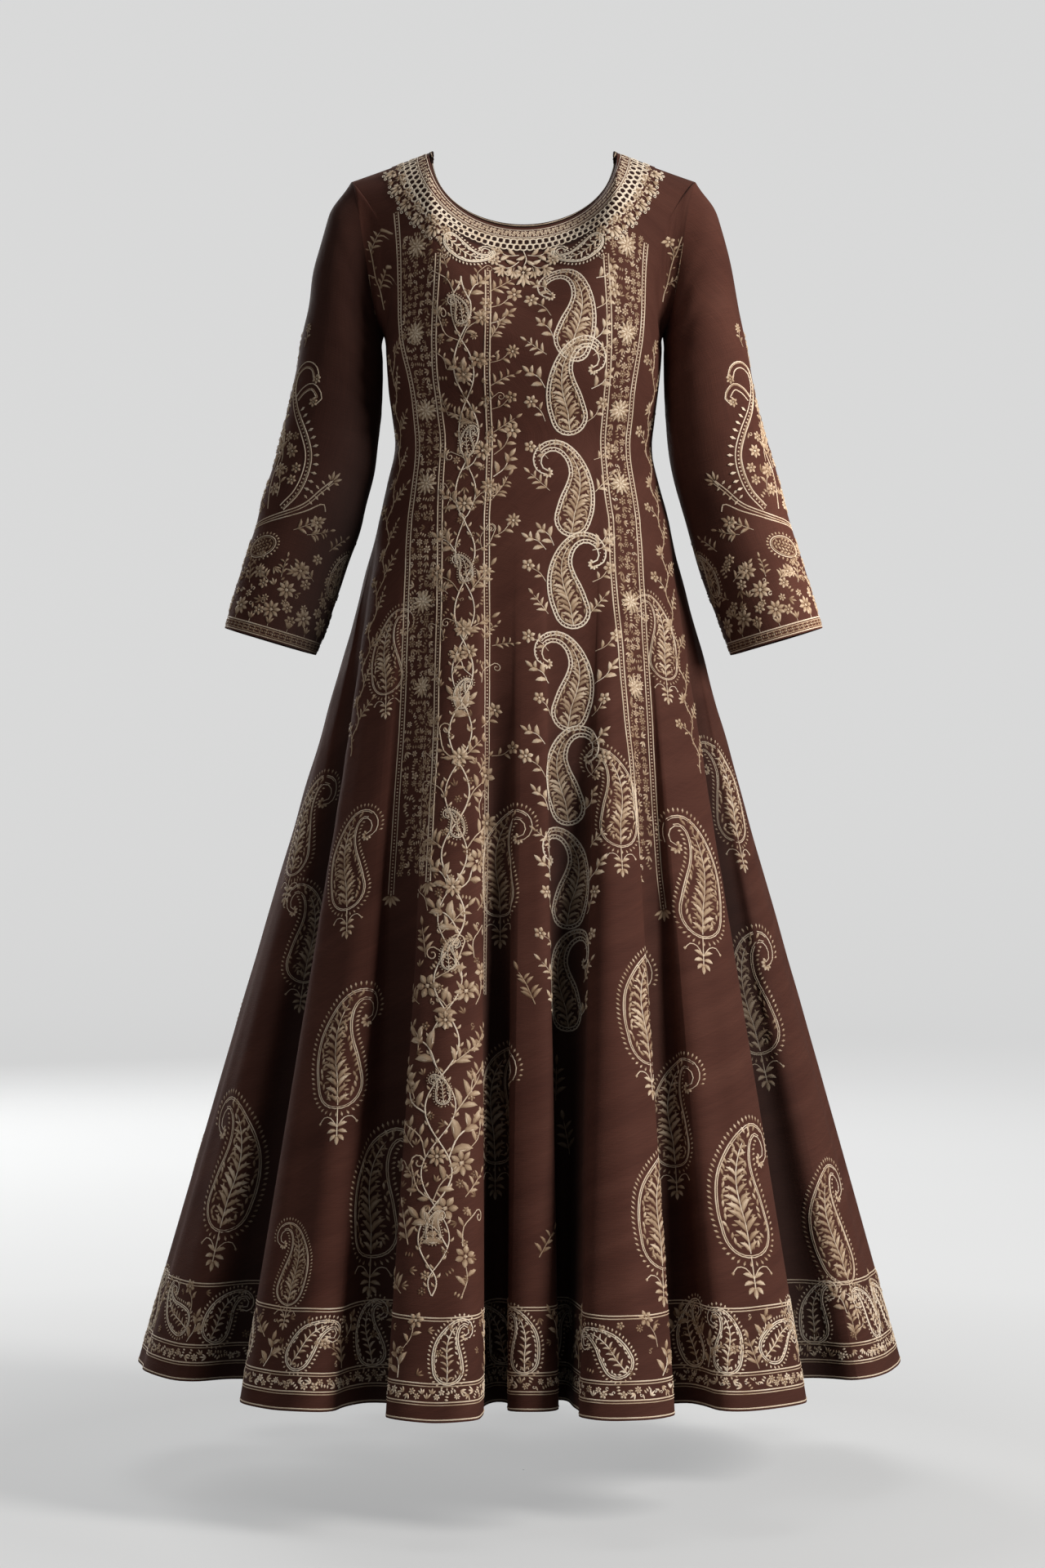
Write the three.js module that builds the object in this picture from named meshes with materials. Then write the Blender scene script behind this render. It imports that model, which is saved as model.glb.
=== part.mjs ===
// Anarkali kurti: a long flared dress of thin cloth, open at the neck, cuffs and hem, standing in
// its worn form with nothing inside. Units are millimetres and +Z is up. The front faces -Y, and
// +X is the wearer's left. The origin is the middle of the neck opening at shoulder height.
//
// The body is one form, body(u, v). u runs round it: 0 is centre front, 1 the left side seam, 2
// centre back and -1 the right side seam. v runs up it: 0 is the hem, 1 the hip, 2 the chest and
// 3 the top edge (neckline, shoulder seam or armhole). Each cut panel is a stretch of u, and each
// sleeve is a row of rings from the armhole to the cuff. "Reach" is distance in front of X.

import * as THREE from 'three';

// ---- Driving sizes -----------------------------------------------------------------------------

const WALL = 1.5;            // thickness of the embroidered cloth with its turned seams
const SEAM_GAP = 0.3;        // space between two panels at a seam
const LACE_WALL = 1.0;       // thickness of the lace yoke
const LACE_GAP = 0.4;        // space between the yoke and the panels it is sewn on
const HEM_Z = -1300;         // garment length
const HIP_Z = -400;          // the skirt's folds start here
const CHEST_Z = -215;        // fullest height of the bust
const NECK_HALF = 101;       // half width between the panels' neck points
const NECK_FRONT = { depth: 89, reach: 58 };
const NECK_BACK = { depth: 76, reach: -66 };
const TIP = { x: 186, z: -35 };           // shoulder tip
const UNDERARM = { x: 150, z: -195 };
const ARMHOLE_FRONT = { reach: 42, dip: 4 };
const ARMHOLE_BACK = { reach: -47, dip: 3 };
const ARMHOLE_CURVE = 1.5;   // over 1, the armhole's lower end turns in towards the underarm late
const BINDING = { start: 0.8, width: 4.2, thick: 2.4, lift: 0.45 };
const YOKE = { half: 157, front: 140, back: 122 };   // the lace yoke's outer edge is an ellipse
const YOKE_HIGHEST = 0.93;   // the edge's row stops short of the shoulder seam, as part of the way
const YOKE_LEVEL_AT_SIDE = 0.7;
const BINDING_LEVEL = 2.93;  // the v at which the binding takes the cloth's slope

// How the cloth goes from the chest (0) to the top edge (1), below the neck and over the shoulder.
// Lean is how late it turns back, roll how roundly it does so, and DRAW_IN how late it draws in.
const BELOW_NECK = { lean: 1.25, roll: 1 };
const OVER_SHOULDER = { lean: 2.8, roll: 0.6 };
const DRAW_IN = 3;
const SHOULDER_BOW = 1.05;   // over 1, the shoulder seam rises a little above a straight line

// Where the body's lines lie in u, counted from the middle of the front or of the back.
const NECK_U = 0.42;
const PRINCESS_U = 0.6;
const TIP_U = 0.7;

// Sections of the bodice: half width, reach of the front and of the back, and squareness, which is
// 2 for an ellipse.
const SECTIONS = [
  { z: -215, half: 148.5, front: 124, back: -104, square: 2.3 },
  { z: -250, half: 146.5, front: 119, back: -99, square: 2.3 },
  { z: -285, half: 142, front: 106, back: -92, square: 2.25 },
  { z: -318, half: 139, front: 99, back: -88, square: 2.2 },
  { z: -360, half: 146.5, front: 106, back: -98, square: 2.15 },
  { z: -400, half: 157, front: 117, back: -112, square: 2.1 },
];

// The skirt's folds, a row each from the right of centre back round the front: u of the fold's
// right-hand edge at the hip, that edge's angle at the hem in degrees from centre front, and the
// reach of the fold's crest or valley from the vertical axis. The fold ends at the next row.
const FOLDS = [
  { hip: -1.92, hem: -173, reach: 325 },
  { hip: -1.84, hem: -166, reach: 408 },
  { hip: -1.66, hem: -150, reach: 338 },
  { hip: -1.58, hem: -143, reach: 404 },
  { hip: -1.38, hem: -126, reach: 330 },
  { hip: -1.27, hem: -117, reach: 414 },
  { hip: -0.97, hem: -64, reach: 312 },
  { hip: -0.90, hem: -46, reach: 418 },
  { hip: -0.56, hem: -28.5, reach: 328 },
  { hip: -0.40, hem: -19.5, reach: 421 },
  { hip: -0.17, hem: -6.3, reach: 292 },
  { hip: -0.03, hem: -3, reach: 352 },
  { hip: 0.08, hem: 5.8, reach: 282 },
  { hip: 0.33, hem: 8.6, reach: 414 },
  { hip: 0.46, hem: 22, reach: 336 },
  { hip: 0.58, hem: 29.5, reach: 415 },
  { hip: 0.90, hem: 47, reach: 312 },
  { hip: 0.97, hem: 65, reach: 405 },
  { hip: 1.25, hem: 118, reach: 330 },
  { hip: 1.33, hem: 127, reach: 402 },
  { hip: 1.50, hem: 143, reach: 336 },
  { hip: 1.58, hem: 150, reach: 407 },
  { hip: 1.78, hem: 167, reach: 322 },
  { hip: 1.86, hem: 173, reach: 396 },
];
const PLAIN_HEM = { front: 365, side: 402 };   // radii of the hem with no folds
const FOLD_ONSET = 1.3;      // over 1, the folds start softly at the hip
const FOLD_FULLNESS = 0.7;   // under 1, a fold's arch is fuller than a sine
const FOLD_PINCH = 0.9;      // degrees by which a crest's shoulders overhang its valleys
const FRONT_STEPS = { crest: 6, valley: 3 };   // columns of the mesh on each fold
const BACK_STEPS = { crest: 5, valley: 2 };
const FRONT_STEPS_FROM = -1.3;                 // the folds whose hip edge lies in this stretch of
const FRONT_STEPS_TO = 1.2;                    // u take the front's steps

// Rows of the body's mesh up to the chest, as v. Above it some rows lie below the yoke's edge, as
// parts of the way up to it, and some above it, as parts of the way on to the top edge.
const BODY_ROWS = [0, 0.13, 0.29, 0.47, 0.66, 0.84, 1, 1.22, 1.44, 1.63, 1.82, 2];
const ROWS_TO_YOKE = [0.45, 0.8, 1];
const ROWS_ON_YOKE = [0.5, 0.85, 1];

// Sections of a sleeve, from the armhole to the cuff. Outer and inner are the ends of the ring
// seen from the front, depth is half its size from front to back, and shift moves it forward.
const SLEEVE_SECTIONS = [
  { outerX: 209, outerZ: -71, innerX: 152, innerZ: -207, depth: 51, shift: -2 },
  { outerX: 224, outerZ: -120, innerX: 152, innerZ: -226, depth: 57, shift: -1 },
  { outerX: 235, outerZ: -180, innerX: 152, innerZ: -250, depth: 59, shift: 0 },
  { outerX: 247, outerZ: -245, innerX: 153.5, innerZ: -288, depth: 58, shift: 2 },
  { outerX: 263, outerZ: -312, innerX: 160, innerZ: -341, depth: 57, shift: 6 },
  { outerX: 283, outerZ: -385, innerX: 176, innerZ: -408, depth: 56, shift: 13 },
  { outerX: 302, outerZ: -450, innerX: 198, innerZ: -476, depth: 55, shift: 22 },
  { outerX: 320, outerZ: -514, innerX: 222, innerZ: -543, depth: 54, shift: 31 },
];
const SLEEVE_FULLNESS = 0.9;                   // under 1, a ring is fuller than an ellipse
const SLEEVE_SEAM_GAP = { top: 0.45, underarm: 1.5 };   // from the armhole's edge, across

const CLOTH = { color: 0x4a2a22, roughness: 0.8, metalness: 0 };
const THREAD = { color: 0xc3aa88, roughness: 0.65, metalness: 0 };
const PIPING = { color: 0x2f1a14, roughness: 0.7, metalness: 0 };

// ---- Small helpers -----------------------------------------------------------------------------

const lerp = (a, b, k) => a + (b - a) * k;
const clamp01 = (k) => Math.min(1, Math.max(0, k));
const smooth = (k) => clamp01(k) ** 2 * (3 - 2 * clamp01(k));
const radians = (degrees) => degrees * Math.PI / 180;
const power = (value, exponent) => Math.sign(value) * Math.abs(value) ** exponent;
// A point from its place across, its reach in front and its height.
const place = (x, reach, z) => new THREE.Vector3(x, -reach, z);
const moved = (point, direction, distance) => point.clone().addScaledVector(direction, distance);

// Values of the named columns of a table at height z, as a smooth curve through its rows.
function rowAt(table, z) {
  let i = table.findIndex((row) => row.z <= z);
  i = Math.min(table.length - 1, Math.max(1, i));
  const above = table[i - 1];
  const below = table[i];
  const span = below.z - above.z;
  const k = (z - above.z) / span;
  const slope = (row, name) => {
    const j = table.indexOf(row);
    const before = table[Math.max(0, j - 1)];
    const after = table[Math.min(table.length - 1, j + 1)];
    return (after[name] - before[name]) / (after.z - before.z);
  };
  const found = {};
  for (const name of Object.keys(above)) {
    const a = slope(above, name) * span;
    const b = slope(below, name) * span;
    const rise = below[name] - above[name];
    found[name] = above[name] + k * (a + k * (3 * rise - 2 * a - b + k * (a + b - 2 * rise)));
  }
  return found;
}

// ---- The body's form ---------------------------------------------------------------------------

// The bodice's section at height z.
function bodice(u, z) {
  const { half, front, back, square } = rowAt(SECTIONS, z);
  const angle = u * Math.PI / 2;
  const x = half * power(Math.sin(angle), 2 / square);
  const along = power(Math.cos(angle), 2 / square);
  return place(x, along > 0 ? along * front : -along * back, z);
}

// The hem at u: the real one, where each fold is a rounded arch between its two edges, and the one
// that the skirt would have with no folds.
function hem(u) {
  const first = FOLDS[0].hip;
  const turned = first + ((u - first) % 4 + 4) % 4;
  const last = FOLDS.length - 1;
  let i = last;
  while (FOLDS[i].hip > turned) i -= 1;
  const fold = FOLDS[i];
  const next = i < last ? FOLDS[i + 1] : { ...FOLDS[0], hip: first + 4, hem: FOLDS[0].hem + 360 };
  const before = FOLDS[(i + last) % FOLDS.length];
  const k = (turned - fold.hip) / (next.hip - fold.hip);
  const edge = lerp((before.reach + fold.reach) / 2, (fold.reach + next.reach) / 2, k);
  const radius = edge + (fold.reach - edge) * Math.sin(Math.PI * k) ** FOLD_FULLNESS;
  const turn = lerp(fold.hem, next.hem, (1 - Math.cos(Math.PI * k)) / 2);
  const angle = radians(turn - FOLD_PINCH * Math.sin(2 * Math.PI * k));
  const plainAngle = radians(lerp(fold.hem, next.hem, k));
  const plainRadius = lerp(PLAIN_HEM.front, PLAIN_HEM.side, Math.sin(plainAngle) ** 2);
  return {
    folded: place(radius * Math.sin(angle), radius * Math.cos(angle), HEM_Z),
    plain: place(plainRadius * Math.sin(plainAngle), plainRadius * Math.cos(plainAngle), HEM_Z),
  };
}

// The skirt hangs straight from the hip to the plain hem, and its folds deepen on the way down.
function skirt(u, v) {
  const down = 1 - v;
  const { folded, plain } = hem(u);
  const fold = folded.sub(plain).multiplyScalar(down ** FOLD_ONSET);
  return plain.lerp(bodice(u, HIP_Z), v).add(fold);
}

// The armhole, from the shoulder tip (k = 0) to the underarm (k = 1), on the wearer's left.
function armhole(k, { reach, dip }) {
  const swing = Math.sin(Math.PI * k);
  const x = lerp(TIP.x, UNDERARM.x, k ** ARMHOLE_CURVE) - dip * swing;
  const z = lerp(TIP.z, UNDERARM.z, (1 - Math.cos(Math.PI * k)) / 2);
  return place(x, reach * swing, z);
}

// The body's top edge. w counts from the middle of the front or back to the side seam.
function topEdge(w, isFront) {
  const neck = isFront ? NECK_FRONT : NECK_BACK;
  if (w <= NECK_U) {
    const angle = w / NECK_U * Math.PI / 2;
    return place(NECK_HALF * Math.sin(angle), neck.reach * Math.cos(angle),
      -neck.depth * Math.cos(angle));
  }
  if (w <= TIP_U) {
    const k = (w - NECK_U) / (TIP_U - NECK_U);
    return place(lerp(NECK_HALF, TIP.x, k), 0, TIP.z * k ** SHOULDER_BOW);
  }
  return armhole((w - TIP_U) / (1 - TIP_U), isFront ? ARMHOLE_FRONT : ARMHOLE_BACK);
}

// What u means: which side it is on, whether it is in front, and how far it is from the middle.
function spot(u) {
  const around = ((u + 2) % 4 + 4) % 4 - 2;
  const isFront = Math.abs(around) <= 1;
  return {
    isFront, side: Math.sign(around) || 1, w: isFront ? Math.abs(around) : 2 - Math.abs(around),
  };
}

// From the chest to the top edge the cloth leans back and rounds over the shoulder.
function upper(u, t) {
  const { side, isFront, w } = spot(u);
  const end = topEdge(w, isFront);
  const start = bodice(isFront ? w : 2 - w, CHEST_Z);
  const overShoulder = smooth(w / NECK_U) * (1 - smooth((w - TIP_U) / (1 - TIP_U)));
  const lean = lerp(BELOW_NECK.lean, OVER_SHOULDER.lean, overShoulder);
  const roll = lerp(BELOW_NECK.roll, OVER_SHOULDER.roll, overShoulder);
  const still = (1 - t ** lean) ** roll;
  return new THREE.Vector3(
    side * lerp(start.x, end.x, t ** DRAW_IN),
    lerp(end.y, start.y, still),
    lerp(start.z, end.z, t));
}

function body(u, v) {
  if (v >= 2) return upper(u, v - 2);
  if (v >= 1) return bodice(u, lerp(HIP_Z, CHEST_Z, v - 1));
  return skirt(u, v);
}

// The way out of the cloth at a point of the body. At the shoulder seam it leans neither forward
// nor back, and at the armhole it never leans inward, so that the walls only meet there.
function bodyNormal(u, v) {
  const du = 0.004;
  const dv = 0.01;
  const highest = 2.97;      // the form is too tightly bent above this to take differences on
  const high = Math.min(highest, v + dv);
  const level = Math.min(highest, v);
  const across = body(u + du, level).sub(body(u - du, level));
  const out = across.cross(body(u, high).sub(body(u, high - 2 * dv))).normalize();
  const { side, w } = spot(u);
  const slack = 1e-6;
  if (v === 3 && w > TIP_U - slack) out.x = side * Math.max(0, side * out.x);
  if (v === 3 && w > NECK_U - slack && w < TIP_U + slack) out.y = 0;
  return out.normalize();
}

// The row of the yoke's lower edge, as the part t of the way from the chest to the top edge. Past
// the yoke it runs on down to the side seam.
function yokeLevel(u) {
  const { isFront, w } = spot(u);
  const inYoke = Math.min(w, PRINCESS_U);
  const drop = isFront ? YOKE.front : YOKE.back;
  let low = 0;
  let high = YOKE_HIGHEST;
  for (let i = 0; i < 30; i += 1) {
    const t = (low + high) / 2;
    const point = upper(isFront ? inYoke : 2 - inYoke, t);
    if (Math.hypot(point.x / YOKE.half, point.z / drop) < 1) high = t;
    else low = t;
  }
  return lerp(high, YOKE_LEVEL_AT_SIDE, smooth((w - PRINCESS_U) / (1 - PRINCESS_U)));
}

// All the rows of the body's mesh at u, as v.
function rowsAt(u) {
  const edge = yokeLevel(u);
  return [
    ...BODY_ROWS,
    ...ROWS_TO_YOKE.map((k) => 2 + edge * k),
    ...ROWS_ON_YOKE.map((k) => (k === 1 ? 3 : 2 + lerp(edge, 1, k))),
  ];
}

// ---- Walls -------------------------------------------------------------------------------------

// A closed wall between two grids of points, outside[row][column] and inside[row][column]. With
// joinColumns it runs round from its last column to its first.
function wall(outside, inside, { joinColumns = false } = {}) {
  const rows = outside.length;
  const columns = outside[0].length;
  const points = [...outside.flat(), ...inside.flat()];
  const index = (layer, row, column) => (layer * rows + row) * columns + column % columns;
  const faces = [];
  const quad = (a, b, c, d) => faces.push(a, b, c, a, c, d);
  const lastColumn = joinColumns ? columns : columns - 1;
  for (let r = 0; r < rows - 1; r += 1) {
    for (let c = 0; c < lastColumn; c += 1) {
      quad(index(0, r, c), index(0, r, c + 1), index(0, r + 1, c + 1), index(0, r + 1, c));
      quad(index(1, r, c), index(1, r + 1, c), index(1, r + 1, c + 1), index(1, r, c + 1));
    }
  }
  for (let c = 0; c < lastColumn; c += 1) {
    const top = rows - 1;
    quad(index(1, 0, c), index(1, 0, c + 1), index(0, 0, c + 1), index(0, 0, c));
    quad(index(0, top, c), index(0, top, c + 1), index(1, top, c + 1), index(1, top, c));
  }
  if (!joinColumns) {
    const end = columns - 1;
    for (let r = 0; r < rows - 1; r += 1) {
      quad(index(1, r, 0), index(0, r, 0), index(0, r + 1, 0), index(1, r + 1, 0));
      quad(index(1, r, end), index(1, r + 1, end), index(0, r + 1, end), index(0, r, end));
    }
  }
  return solid(points, faces);
}

function solid(points, faces) {
  let volume = 0;
  for (let i = 0; i < faces.length; i += 3) {
    const [a, b, c] = [points[faces[i]], points[faces[i + 1]], points[faces[i + 2]]];
    volume += a.dot(b.clone().cross(c)) / 6;
  }
  if (volume < 0) {
    for (let i = 0; i < faces.length; i += 3) {
      [faces[i], faces[i + 1]] = [faces[i + 1], faces[i]];
    }
  }
  const geometry = new THREE.BufferGeometry();
  geometry.setAttribute('position',
    new THREE.Float32BufferAttribute(points.flatMap((p) => [p.x, p.y, p.z]), 3));
  geometry.setIndex(faces);
  geometry.computeVertexNormals();
  return geometry;
}

function named(name, geometry, look) {
  const mesh = new THREE.Mesh(geometry, new THREE.MeshStandardMaterial(look));
  mesh.name = name;
  return mesh;
}

// ---- Panels ------------------------------------------------------------------------------------

// Columns of the body's mesh: even steps across each fold, moved a little where a seam, a neck
// point or a shoulder tip has to fall on one.
function bodyColumns() {
  const columns = [];
  FOLDS.forEach((fold, i) => {
    const end = i + 1 < FOLDS.length ? FOLDS[i + 1].hip : FOLDS[0].hip + 4;
    const neighbour = FOLDS[(i + 1) % FOLDS.length];
    const inFront = fold.hip > FRONT_STEPS_FROM && fold.hip < FRONT_STEPS_TO;
    const count = inFront ? FRONT_STEPS : BACK_STEPS;
    const steps = fold.reach > neighbour.reach ? count.crest : count.valley;
    for (let k = 0; k < steps; k += 1) columns.push(lerp(fold.hip, end, k / steps));
  });
  const lines = [-2, -1, 0, 1, 2];
  for (const w of [NECK_U, PRINCESS_U, TIP_U]) lines.push(w, -w, 2 - w, w - 2);
  for (const line of lines) {
    const wanted = line < columns[0] ? line + 4 : line;
    let nearest = 0;
    columns.forEach((u, i) => {
      if (Math.abs(u - wanted) < Math.abs(columns[nearest] - wanted)) nearest = i;
    });
    columns[nearest] = wanted;
  }
  return columns;
}

const COLUMNS = bodyColumns();

// The columns from one u to another, in order.
function columnsBetween(from, to) {
  return [-4, 0, 4].flatMap((turn) => COLUMNS.map((u) => u + turn))
    .filter((u) => u > from - 1e-6 && u < to + 1e-6)
    .sort((a, b) => a - b);
}

// Moves the first and last entries of a row of points towards their neighbours by half a gap.
function openEnds(outside, inside) {
  const last = outside.length - 1;
  for (const [edge, neighbour] of [[0, 1], [last, last - 1]]) {
    const away = outside[neighbour].clone().sub(outside[edge]).normalize();
    outside[edge].addScaledVector(away, SEAM_GAP / 2);
    inside[edge].addScaledVector(away, SEAM_GAP / 2);
  }
}

// Draws the top row of two grids down by a gap, for the shoulder seam.
function closeShort(outside, inside, gap) {
  const top = outside.length - 1;
  outside[top].forEach((point, c) => {
    const down = outside[top - 1][c].clone().sub(point).normalize();
    point.addScaledVector(down, gap);
    inside[top][c].addScaledVector(down, gap);
  });
}

function panel(from, to) {
  const columns = columnsBetween(from, to).map((u) => ({ u, rows: rowsAt(u) }));
  const outside = columns[0].rows.map((_, r) => columns.map(({ u, rows }) => body(u, rows[r])));
  const inside = outside.map((row, r) => row.map(
    (point, c) => moved(point, bodyNormal(columns[c].u, columns[c].rows[r]), -WALL)));
  closeShort(outside, inside, SEAM_GAP / 2);
  outside.forEach((row, r) => openEnds(row, inside[r]));
  return wall(outside, inside);
}

// ---- Sleeves -----------------------------------------------------------------------------------

// Rings of one sleeve, drawn on the left. Its columns are the body's own columns round that
// armhole, so that the two edges of the seam match.
function sleeveRings(side) {
  const round = side > 0 ? columnsBetween(TIP_U, 2 - TIP_U)
    : columnsBetween(TIP_U - 2, -TIP_U).map((u) => -u).reverse();
  const spots = round.slice(0, -1).map((u) => ({
    k: ((u <= 1 ? u : 2 - u) - TIP_U) / (1 - TIP_U), isFront: u <= 1,
  }));
  const seam = spots.map(({ k, isFront }) => armhole(k, isFront ? ARMHOLE_FRONT : ARMHOLE_BACK)
    .add(place(lerp(SLEEVE_SEAM_GAP.top, SLEEVE_SEAM_GAP.underarm, smooth(2 * k - 1)), 0, 0)));
  const rings = SLEEVE_SECTIONS.map((section) => spots.map(({ k, isFront }) => {
    const turn = Math.PI * k;
    const along = (1 - Math.cos(turn)) / 2;
    const reach = section.depth * Math.sin(turn) ** SLEEVE_FULLNESS * (isFront ? 1 : -1) + section.shift;
    return place(lerp(section.outerX, section.innerX, along), reach,
      lerp(section.outerZ, section.innerZ, along));
  }));
  return [seam, ...rings];
}

function sleeve(side) {
  const outside = sleeveRings(side);
  const columns = outside[0].length;
  const last = outside.length - 1;
  const inside = outside.map((ring, r) => ring.map((point, c) => {
    const across = ring[(c + 1) % columns].clone().sub(ring[(c + columns - 1) % columns]);
    const down = outside[Math.min(last, r + 1)][c].clone().sub(outside[Math.max(0, r - 1)][c]);
    const out = across.cross(down).normalize();
    const middle = ring.reduce((sum, p) => sum.add(p), new THREE.Vector3())
      .divideScalar(columns);
    if (out.dot(point.clone().sub(middle)) < 0) out.negate();
    if (r === 0) out.setX(Math.min(0, out.x)).normalize();
    return moved(point, out, -WALL);
  }));
  for (const point of [...outside.flat(), ...inside.flat()]) point.x *= side;
  return wall(outside, inside, { joinColumns: true });
}

// ---- Neck --------------------------------------------------------------------------------------

// The lace yoke lies on the panels from its lower edge to the neckline: it is the panels' own
// points, moved out.
function yoke(isFront) {
  const middle = isFront ? 0 : 2;
  const columns = columnsBetween(middle - PRINCESS_U, middle + PRINCESS_U)
    .map((u) => ({ u, rows: rowsAt(u).slice(-1 - ROWS_ON_YOKE.length) }));
  const grid = (lift) => columns[0].rows.map((_, r) => columns.map(
    ({ u, rows }) => moved(body(u, rows[r]), bodyNormal(u, rows[r]), lift)));
  const outside = grid(LACE_GAP + LACE_WALL);
  const inside = grid(LACE_GAP);
  closeShort(outside, inside, SEAM_GAP);
  return wall(outside, inside);
}

// The binding runs round the neckline, just inside the panels' edge.
function neckBinding() {
  const us = [
    ...columnsBetween(-NECK_U, NECK_U),
    ...columnsBetween(2 - NECK_U, 2 + NECK_U).slice(1, -1),
  ];
  const edge = us.map((u) => body(u, 3));
  const count = us.length;
  const corners = [
    { across: BINDING.start, lift: BINDING.lift },
    { across: BINDING.start + BINDING.width, lift: BINDING.lift },
    { across: BINDING.start + BINDING.width, lift: BINDING.lift - BINDING.thick },
    { across: BINDING.start, lift: BINDING.lift - BINDING.thick },
  ];
  const rings = us.map((u, i) => {
    const along = edge[(i + 1) % count].clone().sub(edge[(i + count - 1) % count]).normalize();
    const inward = new THREE.Vector3().crossVectors(bodyNormal(u, BINDING_LEVEL), along).normalize();
    const out = new THREE.Vector3().crossVectors(along, inward).normalize();
    return corners.map(({ across, lift }) => moved(moved(edge[i], inward, across), out, lift));
  });
  const points = rings.flat();
  const faces = [];
  for (let i = 0; i < count; i += 1) {
    for (let c = 0; c < 4; c += 1) {
      const [a, b] = [i * 4 + c, i * 4 + (c + 1) % 4];
      const [d, e] = [(i + 1) % count * 4 + c, (i + 1) % count * 4 + (c + 1) % 4];
      faces.push(a, b, e, a, e, d);
    }
  }
  return solid(points, faces);
}

// ---- The garment -------------------------------------------------------------------------------

const PANELS = [
  { name: 'front_left', from: 0, to: PRINCESS_U },
  { name: 'front_right', from: -PRINCESS_U, to: 0 },
  { name: 'front_side_left', from: PRINCESS_U, to: 1 },
  { name: 'front_side_right', from: -1, to: -PRINCESS_U },
  { name: 'back_left', from: 2 - PRINCESS_U, to: 2 },
  { name: 'back_right', from: 2, to: 2 + PRINCESS_U },
  { name: 'back_side_left', from: 1, to: 2 - PRINCESS_U },
  { name: 'back_side_right', from: -2 + PRINCESS_U, to: -1 },
];

const garment = new THREE.Group();
for (const { name, from, to } of PANELS) garment.add(named(name, panel(from, to), CLOTH));
garment.add(named('sleeve_left', sleeve(1), CLOTH));
garment.add(named('sleeve_right', sleeve(-1), CLOTH));
garment.add(named('yoke_lace_front', yoke(true), THREAD));
garment.add(named('yoke_lace_back', yoke(false), THREAD));
garment.add(named('neck_binding', neckBinding(), PIPING));

export default garment;
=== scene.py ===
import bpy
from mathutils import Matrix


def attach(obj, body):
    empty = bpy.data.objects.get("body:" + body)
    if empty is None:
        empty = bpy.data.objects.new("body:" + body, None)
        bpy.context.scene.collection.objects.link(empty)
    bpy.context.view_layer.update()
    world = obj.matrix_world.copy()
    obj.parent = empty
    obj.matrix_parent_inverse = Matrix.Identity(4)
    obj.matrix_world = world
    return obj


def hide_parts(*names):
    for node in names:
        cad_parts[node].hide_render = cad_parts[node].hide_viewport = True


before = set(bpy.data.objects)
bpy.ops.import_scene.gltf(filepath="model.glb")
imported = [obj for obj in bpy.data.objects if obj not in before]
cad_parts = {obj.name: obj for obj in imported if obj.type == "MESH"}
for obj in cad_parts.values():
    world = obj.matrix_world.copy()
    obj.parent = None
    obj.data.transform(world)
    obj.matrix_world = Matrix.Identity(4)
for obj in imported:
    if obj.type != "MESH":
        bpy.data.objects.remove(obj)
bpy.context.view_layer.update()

import math

import bpy
import numpy as np
from mathutils import Vector

# Anarkali kurti. Lengths are metres here; the tables of the form are millimetres, as in part.mjs.
# The body's form is body(u, v): u is 0 at centre front, 1 at the left side seam, 2 at centre back
# and -1 at the right side seam; v is 0 at the hem, 1 at the hip, 2 at the chest and 3 at the top.

MM = 0.001
PI = math.pi
rng = np.random.default_rng(11)

# ---- Form ----------------------------------------------------------------------------------------

HEM_Z, HIP_Z, CHEST_Z = -1300.0, -400.0, -215.0
NECK_HALF = 101.0
NECK_FRONT, NECK_BACK = (89.0, 58.0), (76.0, -66.0)  # depth, reach
TIP, UNDERARM = (186.0, -35.0), (150.0, -195.0)
SHOULDER_ROUND = 4.2  # how far the cloth stands over the solid at the shoulder's tip
ARM_FRONT, ARM_BACK = (42.0, 4.0), (-47.0, 3.0)  # reach, dip
NECK_U, PRINCESS_U, TIP_U = 0.42, 0.6, 0.7
YOKE_HALF, YOKE_FRONT, YOKE_BACK = 157.0, 140.0, 122.0
WALL = 1.2 * MM

# z, half width, front, back, squareness
SECTIONS = np.array([
    (-215, 148.5, 124, -104, 2.3), (-250, 146.5, 119, -99, 2.3), (-285, 142, 106, -92, 2.25),
    (-318, 139, 99, -88, 2.2), (-360, 146.5, 106, -98, 2.15), (-400, 157, 117, -112, 2.1)])

# u at the hip, degrees at the hem, reach of the crest or valley
FOLDS = np.array([
    (-1.92, -173, 325), (-1.84, -166, 408), (-1.66, -150, 338), (-1.58, -143, 404),
    (-1.38, -126, 330), (-1.27, -117, 414), (-0.97, -64, 312), (-0.90, -46, 418),
    (-0.56, -28.5, 328), (-0.40, -19.5, 421), (-0.17, -6.3, 292), (-0.03, -3, 352),
    (0.08, 5.8, 282), (0.33, 8.6, 414), (0.46, 22, 336), (0.58, 29.5, 415), (0.90, 47, 312),
    (0.97, 65, 405), (1.25, 118, 330), (1.33, 127, 402), (1.50, 143, 336), (1.58, 150, 407),
    (1.78, 167, 322), (1.86, 173, 396)])
ROUND = 4  # what u grows by once round
PLAIN_FRONT, PLAIN_SIDE = 365.0, 402.0
FOLD_ONSET, FOLD_PINCH, FOLD_FULLNESS = 1.3, 0.9, 0.7
FOLD_SOFTNESS = 4.5  # millimetres over which the creases between folds are rounded
HEM_PLACES, HEM_STEPS = 16001, 8192  # places in the hem's table, and steps to round it with

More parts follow.
